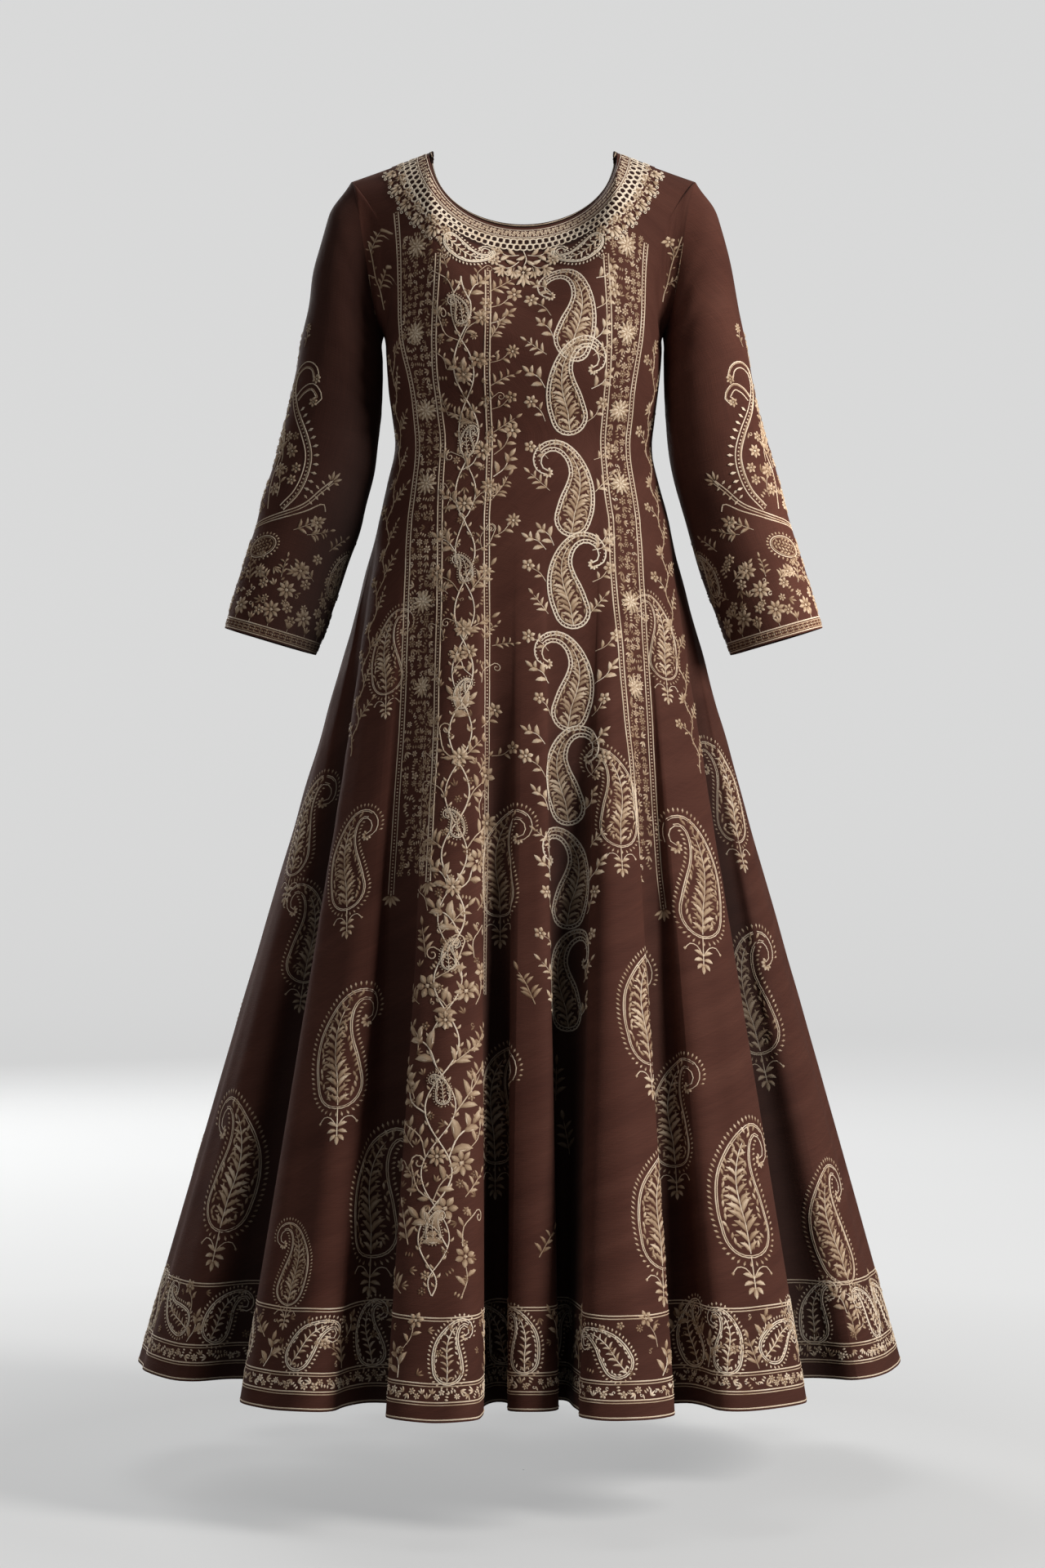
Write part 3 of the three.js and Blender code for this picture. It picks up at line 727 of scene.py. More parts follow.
# Painted shade on broad stitches: they are darker at their sides and towards their root.
PETAL_SIDE_SHADE, PETAL_ROOT_SHADE = 0.2, 0.3  # how much darker a stitch is at its sides and its root
PETAL_WIDTH = 1.6 * MM  # a narrower stitch has one shade
# A thread's height: what it starts from, how it grows with the width, and the most.
THREAD_LOW, THREAD_GROWTH, THREAD_HIGH = 0.3 * MM, 0.16, 1.1 * MM


class Work:
    """Raised thread drawn flat, in metres: points, how far they stand out, triangles, shades."""

    def __init__(self):
        self.parts, self.used = [], 0

    def add(self, flat, lift, faces, shade):
        self.parts.append((flat, lift, faces + self.used, np.broadcast_to(shade, len(flat))))
        self.used += len(flat)

    def thread(self, line, width, shade=0.8, closed=False, rise=1.0):
        line = np.asarray(line, float)
        count = len(line)
        width = np.broadcast_to(np.asarray(width, float), count)
        if closed:
            along = np.roll(line, -1, axis=0) - np.roll(line, 1, axis=0)
        else:
            along = np.gradient(line, axis=0)
        along = unit(along)
        side = left_of_line(along) * width[:, None] / 2
        height = rise * np.minimum(THREAD_LOW + THREAD_GROWTH * width, THREAD_HIGH)
        start, end = not closed and width[0] == 0, not closed and width[-1] == 0
        faces = section_faces(count, start, end, closed)[0]
        flat = np.stack([line + side, line, line - side], axis=1).reshape(-1, 2)
        lift = np.stack([height * 0, height, height * 0], axis=1).ravel()
        shades = np.full((count, 3), float(shade))
        # painted shade: broad petals darker at their sides and their root
        if start and end and width.max() > PETAL_WIDTH:
            shades[:, ::2] -= PETAL_SIDE_SHADE
            shades += PETAL_ROOT_SHADE * np.linspace(-1, 0.25, count)[:, None]
        keep = np.ones(count * 3, bool)
        if start:
            keep[1:3] = False
        if end:
            keep[-2:] = False
        self.add(flat[keep], lift[keep], faces, shades.ravel()[keep])

    def done(self):
        return tuple(np.concatenate([p[i] for p in self.parts]) for i in range(4))


CURVE_STEPS = 12  # to each given point


def curve(points, count):
    """A smooth line through points, evenly divided."""
    p = np.asarray(points, float)
    q = np.vstack([2 * p[0] - p[1], p, 2 * p[-1] - p[-2]])
    t = np.linspace(0, len(p) - 1, CURVE_STEPS * len(p))
    i = np.minimum(t.astype(int), len(p) - 2)
    f = (t - i)[:, None]
    a, b, c, d = q[i], q[i + 1], q[i + 2], q[i + 3]
    fine = b + 0.5 * f * (c - a + f * (2 * a - 5 * b + 4 * c - d + f * (3 * (b - c) + d - a)))
    return even(fine, count)


def even(line, count):
    arc = arc_length(line)
    return interp_each(np.linspace(0, arc[-1], count), arc, line)


def left_of_line(along):
    return np.stack([-along[:, 1], along[:, 0]], axis=1)


def polar(length, angle):
    return np.array([length * math.sin(angle), length * math.cos(angle)])


def drawn(draw):
    """Turns a function that draws on a work into one that returns the finished motif."""
    def motif(*values, **named):
        work = Work()
        draw(work, *values, **named)
        return work.done()
    return motif


MOTIF_SHADE, FLOWER_CORE = 0.75, 0.95
# Widths along a leaf and along a short stitch.
LEAF, TICK = np.array([0, 0.72, 1, 0.74, 0]), np.array([0, 1, 0])


def leaf(work, base, tip, width, shade=MOTIF_SHADE, bend=0.0):
    base, tip = np.asarray(base, float), np.asarray(tip, float)
    along = tip - base
    side = np.array([-along[1], along[0]])
    k = np.linspace(0, 1, 5)[:, None]
    work.thread(base + along * k + side * bend * np.sin(PI * k), width * LEAF, shade)


def shoot(work, at, length, angle, width, shade=MOTIF_SHADE, bend=0.0):
    """A leaf of a length from a place, at an angle clockwise from up the cloth, in radians."""
    leaf(work, at, at + polar(length, angle), width, shade, bend)


def dot(work, at, size, shade=0.85):
    work.thread(np.asarray(at) + np.array([[-0.5, 0], [0, 0], [0.5, 0]]) * size,
                size * TICK, shade, rise=0.9)


def flower(work, at, radius, petals, shade, turn=0.0):
    at = np.asarray(at, float)
    for i in range(petals):
        a = turn + 2 * PI * i / petals
        leaf(work, at + polar(radius * 0.16, a), at + polar(radius, a),
             radius * min(3.3 / petals, 0.75), shade)
    dot(work, at, radius * 0.42, FLOWER_CORE)


def stem(work, points, width=1.1 * MM, shade=0.7, count=8):
    line = curve(points, count)
    taper = np.ones(count)
    taper[-1] = 0
    work.thread(line, width * taper, shade)
    return line


@drawn
def spray(work, length, pairs, bend=0.0):
    """A leafy shoot that grows from (0, 0) up y."""
    line = stem(work, [(0, 0), (bend * length * 0.5, length * 0.5), (bend * length, length * 0.8)])
    for i in range(pairs):
        at = line[1 + int(i * 6 / pairs)]
        size = length * 0.34 * (1 - 0.12 * i)
        for s in (-1, 1):
            shoot(work, at, size, s * 0.85, size * 0.3, bend=0.12 * s)
    shoot(work, line[-1], length * 0.26, bend, length * 0.1)


@drawn
def blossom(work, length, petals):
    line = stem(work, [(0, 0), (length * 0.08, length * 0.35), (0, length * 0.7)])
    flower(work, (0, length * 0.82), length * 0.24, petals, MOTIF_SHADE)
    for i, s in ((2, -1), (4, 1)):
        shoot(work, line[i], length * 0.3, s * 0.9, length * 0.11, bend=0.1 * s)


@drawn
def leafy(work, length):
    """A shoot of a few broad leaves, each with a light middle vein."""
    line = stem(work, [(0, 0), (length * 0.1, length * 0.4), (0, length * 0.72)], 1.3 * MM, 0.95)
    for i, s, size in ((1, -1, 0.42), (3, 1, 0.44), (5, -1, 0.36), (6, 1, 0.3), (7, 0, 0.34)):
        tip = line[i] + polar(length * size, s * 0.8)
        leaf(work, line[i], tip, length * size * 0.4, bend=0.12 * s)
        work.thread([lerp(line[i], tip, 0.15), lerp(line[i], tip, 0.5), lerp(line[i], tip, 0.85)],
                    np.array([0, 1.2, 0]) * MM, 1.0, rise=2.2)


@drawn
def bloom(work, length, shade):
    """An open flower on a stalk with two leaves."""
    line = stem(work, [(0, 0), (-length * 0.08, length * 0.3), (0, length * 0.55)], 1.3 * MM, 0.95)
    middle = np.array([0, length * 0.74])
    for i in range(8):
        a = 2 * PI * i / 8 + 0.2
        tip = middle + polar(length * (0.27 if i % 2 else 0.24), a)
        leaf(work, middle + polar(length * 0.06, a), tip, length * 0.115, shade)
    dot(work, middle, length * 0.09, 1.0)
    for i, s in ((2, 1), (4, -1)):
        shoot(work, line[i], length * 0.3, s * 1.0, length * 0.12, shade, 0.1 * s)


def spiral(start, size, turns, count, side=1):
    a = np.linspace(0, turns * 2 * PI, count)
    r = size * (1 - 0.8 * a / a[-1])
    centre = np.array([side * size, 0])
    return start + centre + np.stack([-side * r * np.cos(a), r * np.sin(a)], axis=1)


@drawn
def tendril(work, length, side):
    lead = curve([(0, 0), (-side * length * 0.12, length * 0.35), (0, length * 0.7)], 7)
    coil = spiral(lead[-1], length * 0.15, 1.2, 13, side)
    line = np.vstack([lead, coil[1:]])
    work.thread(line, np.append(np.full(len(line) - 1, 1.2 * MM), 0), MOTIF_SHADE)
    dot(work, line[-1], 2.6 * MM, MOTIF_SHADE)
    for i in (1, 3, 5):
        shoot(work, line[i], length * 0.22, -side * 0.9, length * 0.08)


@drawn
def cluster(work, size, leaves=5):
    """A fan of leaves with buds, like a half flower."""
    for i in range(leaves):
        a = (i - (leaves - 1) / 2) * 0.52
        leaf(work, polar(size * 0.1, a), polar(size * (1 - 0.12 * abs(a)), a), size * 0.27,
             bend=0.08 * np.sign(a))
    stem(work, [(0, -size * 0.3), (0, 0), (0, size * 0.2)], 1.0 * MM, MOTIF_SHADE, 4)


OUTLINE_PLACES = 199
# x, y and radius along the middle of a teardrop that is 1 high.
SPINE = np.array([(0, 0.21, 0.19), (-0.03, 0.38, 0.182), (-0.04, 0.55, 0.15),
                  (-0.005, 0.71, 0.1), (0.065, 0.84, 0.062), (0.158, 0.905, 0.044),
                  (0.25, 0.88, 0.036), (0.296, 0.795, 0.03), (0.272, 0.712, 0.023),
                  (0.208, 0.69, 0.016)])
PLUMP_SPINE = SPINE * (1, 1, 1.17) + (0, 0.02, 0)
HOOKED_SPINE = np.array([(0, 0.2, 0.172), (-0.045, 0.37, 0.168), (-0.07, 0.53, 0.135),
                         (-0.05, 0.69, 0.09), (0.03, 0.83, 0.064), (0.145, 0.905, 0.052),
                         (0.27, 0.885, 0.045), (0.345, 0.785, 0.038), (0.325, 0.675, 0.03),
                         (0.245, 0.64, 0.02)])


def drop_outline(height, extra, count, start=0.0, stop=1.0, spine=SPINE):
    """The outline of a curled teardrop, moved out by extra metres, from its tip to its tip."""
    line = curve(spine, 34) * height
    middle, radius = line[:, :2], line[:, 2]
    radius = np.maximum(radius + extra, radius * 0.25)
    along = unit(np.gradient(middle, axis=0))
    side = left_of_line(along) * radius[:, None]
    first = math.atan2(side[0, 1], side[0, 0])
    cap = [middle[0] + radius[0] * np.array([math.cos(first + PI * i / 11),
                                             math.sin(first + PI * i / 11)]) for i in range(1, 11)]
    whole = even(np.vstack([(middle + side)[::-1], cap, middle - side]), OUTLINE_PLACES + 1)
    return even(whole[int(start * OUTLINE_PLACES):int(stop * OUTLINE_PLACES) + 1], count)


# How long the leaves inside a teardrop are at parts of its height.
DROP_ROOM = [0.04, 0.2, 0.5, 0.72, 0.88], [0.12, 0.16, 0.135, 0.085, 0.035]


def fill_drop(work, height, shade, pairs, spine):
    """Leaves on a stem that follows the teardrop's middle, and small ones along its edge."""
    line = curve(spine[:6], 16) * height
    stalk = even(np.vstack([[0.0, height * 0.05], line[1:14, :2]]), 14)
    work.thread(stalk, np.append(np.full(len(stalk) - 1, 1.0 * MM), 0), shade + 0.2)
    for i in range(pairs):
        k = 0.1 + 12.4 * i / pairs
        j = int(k)
        at = lerp(stalk[j], stalk[j + 1], k - j)
        along = stalk[j + 1] - stalk[max(0, j - 1)]
        heading = math.atan2(along[0], along[1])
        room = np.interp(at[1] / height, *DROP_ROOM)
        for s in (-1, 1):
            size = height * room * rng.uniform(0.8, 0.98)
            way = heading + s * rng.uniform(0.7, 0.95)
            shoot(work, at, size, way, size * 0.27, shade + rng.uniform(-0.1, 0.2), 0.16 * s)
            if size > 11 * MM:
                for reach, spread in ((0.5, 0.75), (0.62, -0.75)):
                    shoot(work, at + polar(size * reach, way), size * 0.42, way + spread,
                          size * 0.14, shade + rng.uniform(-0.2, 0.1))
    for at in drop_outline(height, -0.05 * height, int(pairs * 3.8), 0.16, 0.88, spine):
        size = max(0.055 * height, 4 * MM)
        shoot(work, at, size, rng.uniform(-0.9, 0.9), size * 0.4,
              shade + rng.uniform(-0.15, 0.15))


def foot(work, height, shade):
    """The leafy root under a teardrop."""
    work.thread([(0, 0.03 * height), (0, -0.08 * height), (0, -0.2 * height)], 1.1 * MM, shade)
    fork = np.array([0, -0.12 * height])
    for s in (-1, 1):
        arm = curve([fork, fork + (s * 0.05 * height, 0.07 * height),
                     fork + (s * 0.11 * height, 0.08 * height),
                     fork + (s * 0.15 * height, 0.035 * height)], 8)
        work.thread(arm, 1.0 * MM, shade)
        dot(work, arm[-1], 0.026 * height, shade)
        for a, size, down in ((1.15, 0.085, 0.0), (1.75, 0.08, 0.03), (2.3, 0.07, 0.06)):
            shoot(work, fork - (0, down * height), size * height, s * a, 0.032 * height, shade,
                  0.14 * s)
    leaf(work, fork - (0, 0.06 * height), fork - (0, 0.14 * height), 0.034 * height, shade)


def fringe_stitches(work, path, size, width, shade):
    """Drop-shaped stitches that stand off a path, on its left, and lean up."""
    out = unit(left_of_line(unit(np.gradient(path, axis=0))))
    for i, at in enumerate(path):
        way = unit(out[i] + (0, 0.5))
        line = at + way * size * np.array([[0.0], [0.6], [1.0]])
        work.thread(line, width * np.array([0, 1, 0]), shade)


FRINGE_STEP = 3.4 * MM


@drawn
def paisley(work, height, fringe=True, rooted=True, line_shade=0.85, fill_shade=0.5, pairs=9,
            weight=1.25, gap=2.3, beads=False, spine=SPINE):
    """A curled teardrop that stands on (0, 0) with its tip to the right."""
    wide = weight * MM * 0.9
    detail = 1 if height > 0.08 else 0.7
    work.thread(drop_outline(height, 0, int(58 * detail), spine=spine), wide, line_shade)
    work.thread(drop_outline(height, -gap * MM, int(50 * detail), 0.1, 0.92, spine), wide * 0.9,
                line_shade - 0.05)
    if beads:
        for at in drop_outline(height, -gap * MM / 2, int(height / 0.0014), 0.03, 0.95, spine):
            dot(work, at, 1.5 * MM, line_shade)
    fill_drop(work, height, fill_shade, pairs, spine)
    tip = spine[-1, :2] * height
    for i in range(6):
        a = 2.3 + i * 0.72
        leaf(work, tip + polar(0.012 * height, a), tip + polar(0.055 * height, a), 0.028 * height,
             line_shade)
    if fringe:
        count = int(2.4 * height / max(0.034 * height, FRINGE_STEP))
        path = drop_outline(height, 0.022 * height, count, 0.05, 0.93, spine)
        fringe_stitches(work, path[::-1], max(0.04 * height, 3.6 * MM), max(0.018 * height, 2 * MM),
                        line_shade)
    if rooted:
        foot(work, height, line_shade)


# ---- Laying it on the dress ----------------------------------------------------------------------

LAYERS = {}


def to_layer(name, points, faces, shade):
    layer = LAYERS.setdefault(name, {"points": [], "faces": [], "shade": [], "used": 0})
    layer["points"].append(points)
    layer["faces"].append(faces + layer["used"])
    layer["shade"].append(np.broadcast_to(shade, len(points)))
    layer["used"] += len(points)


def panel_at(u):
    around = wrapped(u)
    for name, (start, end) in PANELS.items():
        if start <= around < end:
            return name
    return "back_left"


def sew(motif, u, v, turn=0.0, scale=1.0, mirror=False, shift=(0, 0), base=0.0, dim=0.0,
        layer=None, surface=None):
    """Lays a motif with its origin at (u, v); turn is anticlockwise, in degrees."""
    flat, lift, faces, shade = motif
    flat = flat * (scale * (-1 if mirror else 1), scale) + shift
    surface = surface or BODY
    points = surface.lay(u, v, flat, lift * min(1.0, 0.3 + scale) + base, math.radians(turn))
    to_layer(layer or "embroidery_" + panel_at(u), points, faces[:, ::-1] if mirror else faces,
             np.clip(shade - dim, 0, 1))


def rail(name, points, normals, width, shade=0.8, offset=0.0, base=0.0, closed=False):
    """A thread along a line on a surface, moved sideways by offset."""
    if closed:
        along = np.roll(points, -1, axis=0) - np.roll(points, 1, axis=0)
    else:
        along = np.gradient(points, axis=0)
    side = unit(np.cross(normals, along))
    crest = 0.25 * MM + 0.25 * width
    middle = points + side * offset
    sections = np.stack([middle + side * width / 2 + normals * base,
                         middle + normals * (base + crest),
                         middle - side * width / 2 + normals * base], axis=1)
    to_layer(name, sections.reshape(-1, 3),
             section_faces(len(points), False, False, closed)[0], shade)


def on_surface(surface, path, step=4 * MM):
    """Points and normals every step along a path of (column, row) numbers."""
    fine = curve(path, CURVE_STEPS * len(path))
    arc = arc_length(surface.at(*surface.index(*fine.T))[0])
    fine = interp_each(np.linspace(0, arc[-1], max(3, int(arc[-1] / step))), arc, fine)
    return fine, *surface.at(*surface.index(*fine.T))


def along_and_across(points, normals):
    along = unit(np.gradient(points, axis=0))
    return along, unit(np.cross(normals, along))


def pads(name, points, normals, size, shade):
    """A short raised stitch across the line at each point; size is across and along the line."""
    along, side = along_and_across(points, normals)
    half = np.asarray(size) / 2
    block = np.stack([points + along * half[1], points + side * half[0],
                      points - along * half[1], points - side * half[0],
                      points + normals * (0.55 * MM)], axis=1).reshape(-1, 3)
    index = np.arange(len(points))[:, None] * 5
    faces = np.concatenate([index + np.array([[a, b, 4]]) for a, b in
                            ((0, 1), (1, 2), (2, 3), (3, 0))])
    to_layer(name, block, faces, shade)


def rails(name, surface, path, step, *lines):
    """Threads beside a path: the width, shade and offset of each, in millimetres."""
    _, points, normals = on_surface(surface, path, step * MM)
    for width, shade, offset in lines:
        rail(name, points, normals, width * MM, shade, offset * MM)


BRAID_SHADE = 0.82


def braid(name, path):
    """Two lines with stitches between them."""
    rails(name, BODY, path, 4.2, (1.5, BRAID_SHADE, 2.7), (1.5, BRAID_SHADE, -2.7))
    _, points, normals = on_surface(BODY, path, 3.6 * MM)
    pads(name, points, normals, (2.4 * MM, 1.7 * MM), BRAID_SHADE - 0.1)


# Motifs that are used more than once.
BUTA_HEIGHT = 0.135
BUTAS = [paisley(BUTA_HEIGHT, pairs=p, fill_shade=f, gap=1.9)
         for p, f in ((12, 0.74), (13, 0.68), (12, 0.78))]
BORDER_DROPS = [paisley(0.064, rooted=False, pairs=8, gap=1.8, fill_shade=f, line_shade=1.0,
                        spine=PLUMP_SPINE) for f in (0.8, 0.95, 0.88)]
SMALL_DROP = paisley(0.052, rooted=False, pairs=7, gap=1.8, fill_shade=0.85,
                     line_shade=0.95, spine=PLUMP_SPINE)
CHAIN_DROP = paisley(0.112, fringe=False, rooted=False, pairs=14, line_shade=1.0, fill_shade=0.72,
                     weight=1.7, gap=3.4, beads=True, spine=HOOKED_SPINE)
SPRAYS = [spray(0.05, 3), spray(0.042, 3, 0.3), spray(0.05, 4, -0.25)]
BLOSSOMS = [blossom(0.05, 6), blossom(0.044, 5), blossom(0.05, 8)]
TENDRILS = [tendril(0.055, 1), tendril(0.05, -1)]
CLUSTERS = [cluster(0.02), cluster(0.024, 7), cluster(0.018, 3)]


@drawn
def star(work, radius, petals, shade=0.8):
    flower(work, (0, 0), radius, petals, shade)


STARS = [star(0.0105, 8), star(0.008, 7), star(0.0062, 6)]


def row_at(surface, column, height):
    """The row number that many metres up the cloth from the first row."""
    c = surface.index(column, 0)[0]
    c0 = min(int(c), len(surface.columns) - 2)
    heights = lerp(surface.up[:, c0], surface.up[:, c0 + 1], c - c0)
    return float(np.interp(height, heights, surface.rows))


def beside(surface, column, row, distance):
    """The column number that many metres to the wearer's left along a row."""
    c, r = surface.index(column, row)
    lengths = surface.across[int(round(float(r)))]
    here = np.interp(c, np.arange(len(lengths)), lengths)
    return float(np.interp(here + distance, lengths, surface.columns))


def sway(surface, places, offsets):
    """Moves places on a surface sideways by offsets in metres."""
    c, r = surface.index(places[:, 0], places[:, 1])
    here = surface.sample(surface.points, c, r)
    step = np.linalg.norm(surface.sample(surface.points, c + 0.5, r) - here, axis=1) * 2
    c = c + offsets / np.maximum(step, 1e-4)
    return c, r, *surface.at(c, r)


VINE_STEP = 3  # millimetres between a stem's points
VINE_WIDER = [0.35, 0.85]  # the rows between which a vine grows wider towards the hem


def vine(path, motifs, spacing, swing, width=1.3 * MM, shade=0.8, scale=1.0, leaves=9 * MM,
         layer=None, lean=48, first=1, wave=None, grow=1.0):
    """A wavy stem along a path on the body, with small leaves on it and motifs on alternate sides.
    Its own wave is as long as the spacing, if none is given."""
    places = on_surface(BODY, path, VINE_STEP * MM)[0]
    layer = layer or "embroidery_" + panel_at(path[0][0])
    count = len(places)
    arc = np.arange(count) * VINE_STEP * MM
    fade = np.minimum(1, np.minimum(np.arange(count), count - 1 - np.arange(count)) / 8)
    widen = np.interp(places[:, 1], VINE_WIDER, [grow, 1.0])
    offsets = swing * np.sin(PI * arc / (wave or spacing)) * fade * widen
    c, r, points, normals = sway(BODY, places, offsets)
    rail(layer, points, normals, width, shade)
    columns = np.interp(c, np.arange(len(BODY.columns)), BODY.columns)
    rows = np.interp(r, np.arange(len(BODY.rows)), BODY.rows)
    small = drawn(leaf)((0, 0), (0, 8.5 * MM), 3.3 * MM, shade - 0.1, 0.15)
    step = max(1, int(leaves / (VINE_STEP * MM)))
    for i in range(step, count - step, step):
        s = 1 if (i // step) % 2 else -1
        sew(small, columns[i], rows[i], s * lean, scale, s < 0, layer=layer)
    total = int(arc[-1] / spacing)
    for i in range(total):
        j = min(count - 1, int((i + 0.5) * spacing / (VINE_STEP * MM)))
        s = first if i % 2 else -first
        motif = motifs[i % len(motifs)]
        sew(motif, columns[j], rows[j], s * lean * rng.uniform(0.75, 1.15),
            scale * rng.uniform(0.9, 1.1) * widen[j], s < 0, base=0.2 * MM, layer=layer)


# The seams' braids, as (u, v) points from the yoke down.
BRAIDS = {
    "outer_right": [(-0.598, 2.731), (-0.646, 2.41), (-0.672, 2.17), (-0.639, 1.986),
                    (-0.59, 1.81), (-0.575, 1.638), (-0.577, 1.414), (-0.556, 1.095),
                    (-0.546, 0.995), (-0.532, 0.891), (-0.52, 0.762), (-0.523, 0.661),
                    (-0.524, 0.561)],
    "inner_right": [(-0.374, 2.468), (-0.4, 2.127), (-0.402, 1.895), (-0.4, 1.533),
                    (-0.388, 1.214), (-0.36, 0.952), (-0.345, 0.839), (-0.336, 0.744),
                    (-0.334, 0.651), (-0.332, 0.577)],
    "centre_right": [(-0.126, 2.558), (-0.133, 2.01), (-0.143, 1.524), (-0.145, 1.148),
                     (-0.147, 0.952), (-0.145, 0.877), (-0.144, 0.794), (-0.145, 0.7),
                     (-0.148, 0.58), (-0.152, 0.45)],
    "inner_left": [(0.356, 2.48), (0.382, 2.174), (0.384, 1.838), (0.39, 1.49), (0.388, 1.129),
                   (0.392, 0.952), (0.412, 0.858), (0.425, 0.764), (0.442, 0.669),
                   (0.47, 0.585)],
    "outer_left": [(0.61, 2.558), (0.628, 2.212), (0.594, 1.948), (0.567, 1.733), (0.572, 1.5),
                   (0.563, 1.2), (0.55, 0.953), (0.55, 0.815), (0.547, 0.711), (0.548, 0.594),
                   (0.555, 0.545)],
    "back_left": [(1.4, 2.36), (1.37, 2.1), (1.4, 1.7), (1.41, 1.2), (1.42, 0.9), (1.4, 0.58)],
}
BRAIDS["back_right"] = [(-u, v) for u, v in BRAIDS["back_left"]]
BRAID_KINDS = {"outer": "front_side", "inner": "front", "centre": "front", "back": "back"}
for name, path in BRAIDS.items():
    kind, hand = name.split("_")
    braid("embroidery_%s_%s" % (BRAID_KINDS[kind], hand), path)
    if name != "centre_right":
        sew(CLUSTERS[0], *path[-1], 180, 0.7)


@drawn
def small_motif(work):
    """One of the little flowers and leaves that fill a band."""
    kind = rng.integers(0, 6)
    shade = rng.uniform(0.5, 0.85)
    if kind < 2:
        flower(work, (0, 0), rng.uniform(4.2, 6) * MM, int(rng.integers(5, 8)), shade)
    elif kind < 4:
        for angle in (0.0, 0.9, -0.9):
            leaf(work, (0, -3 * MM), polar(rng.uniform(5, 7.5) * MM, angle), 2.6 * MM, shade)
    elif kind == 4:
        work.thread(spiral(np.zeros(2), 2.8 * MM, 0.9, 8), 1.1 * MM, shade)
        leaf(work, (0, 0), (0, 6.5 * MM), 2.4 * MM, shade)
    else:
        for spread in (-4, 0, 4):
            leaf(work, (spread * MM, -2.5 * MM), (spread * MM, 3 * MM), 2.6 * MM, shade)


BAND_MARGIN, BAND_STEP = 8 * MM, 8.6  # what a band leaves free; millimetres between its motifs


def band(inner, outer):
    """Small flowers and leaves that fill the strip between two braids."""
    a, b = on_surface(BODY, inner, 8 * MM)[0], curve(outer, 60)
    rows = len(a)
    b = np.stack([np.interp(-a[:, 1], -b[:, 1], b[:, 0]), a[:, 1]], axis=1)
    ends = [BODY.sample(BODY.points, *BODY.index(*side.T)) for side in (a, b)]
    widths = np.linalg.norm(ends[0] - ends[1], axis=1)
    for i in range(1, rows - 1):
        count = max(2, round((widths[i] - BAND_MARGIN) / (9 * MM)))
        for k in range(count):
            w = 0.5 + (k - (count - 1) / 2) * BAND_STEP * MM / widths[i]
            u, v = lerp(a[i], b[i], w + rng.uniform(-0.03, 0.03))
            sew(small_motif(), u, v, rng.uniform(0, 360), 0.8, dim=-0.06)


band([(-0.38, 2.6)] + BRAIDS["inner_right"], BRAIDS["outer_right"])
band([(0.37, 2.6)] + BRAIDS["inner_left"], BRAIDS["outer_left"])


@drawn
def rosette(work, radius, shade):
    flower(work, (0, 0), radius, 12, shade - 0.15)
    flower(work, (0, 0), radius * 0.62, 8, shade + 0.1, 0.2)


# Rosettes in the middle of the bands.
for v in (2.5, 2.05, 1.62, 1.2, 0.9, 0.8):
    for hand in ("right", "left"):
        us = [np.interp(-v, [-y for _, y in BRAIDS[k + hand]], [x for x, _ in BRAIDS[k + hand]])
              for k in ("inner_", "outer_")]
        sew(rosette(0.0128, 1.0), sum(us) / 2, v, base=0.6 * MM)

# The right middle front: a vine of flowers, leaves and small drops, in a layout of its own.
BIG_LEAVES = leafy(0.046)
BIG_BLOSSOM = bloom(0.05, 0.8)
VINE_SWING, VINE_WAVE = 11 * MM, 66 * MM
VINE_PATH = [(-0.25, 2.42), (-0.262, 2.1), (-0.245, 1.7), (-0.26, 1.3), (-0.245, 0.95),
             (-0.25, 0.8), (-0.262, 0.66), (-0.272, 0.5), (-0.28, 0.36), (-0.285, 0.24),
             (-0.285, 0.13)]
for first, width, motifs in (
        (1, 1.5, [BIG_LEAVES, TENDRILS[0], BLOSSOMS[0], SPRAYS[2], BIG_BLOSSOM]),
        (-1, 1.2, [TENDRILS[1], BLOSSOMS[2], BIG_LEAVES, SPRAYS[0]])):
    vine(VINE_PATH, motifs, 46 * MM, first * VINE_SWING, width * MM, 0.95, 0.8, lean=44,
         layer="embroidery_front_right", first=first, wave=VINE_WAVE, grow=1.45)
for i, (u, v) in enumerate(on_surface(BODY, VINE_PATH, 33 * MM)[0][1:-1:2]):
    if i % 2:
        sew(STARS[0], u, v, base=0.6 * MM)
    else:
        sew(SMALL_DROP, u, v, 12 - 6 * (i % 4), 0.66, i % 4 == 0, (0, -0.018), base=0.6 * MM)
for i, (u, v) in enumerate(on_surface(BODY, VINE_PATH, 46 * MM)[0]):
    widen = np.interp(v, VINE_WIDER, [1.55, 1.0])
    for k, s in enumerate((-1, 1)):
        place = beside(BODY, u, v, s * rng.uniform(17, 22) * MM * widen)
        sew((SPRAYS + TENDRILS + BLOSSOMS[:1])[(2 * i + 3 * k) % 6], place, v,
            s * -rng.uniform(5, 40), 0.62 * widen)
scatter = []
SCATTER_TRIES, SCATTER_GAP = 700, 15 * MM
along_vine = on_surface(BODY, VINE_PATH, 4 * MM)[0]
for _ in range(SCATTER_TRIES):
    middle, v = along_vine[rng.integers(0, len(along_vine))]
    u = beside(BODY, middle, v, rng.uniform(-24, 26) * MM * np.interp(v, VINE_WIDER, [1.6, 1.0]))
    here = BODY.sample(BODY.points, *BODY.index(u, v))
    if all(np.linalg.norm(here - other) > SCATTER_GAP for other in scatter):
        scatter.append(here)
        sew(small_motif(), u, v, rng.uniform(0, 360), 0.9, dim=0.1, layer="embroidery_front_right")
for i, v in enumerate(np.linspace(2.38, 0.72, 14)):
    sew((SPRAYS + BLOSSOMS + [BIG_LEAVES])[(i * 3) % 7], beside(BODY, -0.14, v, 4 * MM), v,
        -rng.uniform(35, 70), rng.uniform(0.6, 0.8))
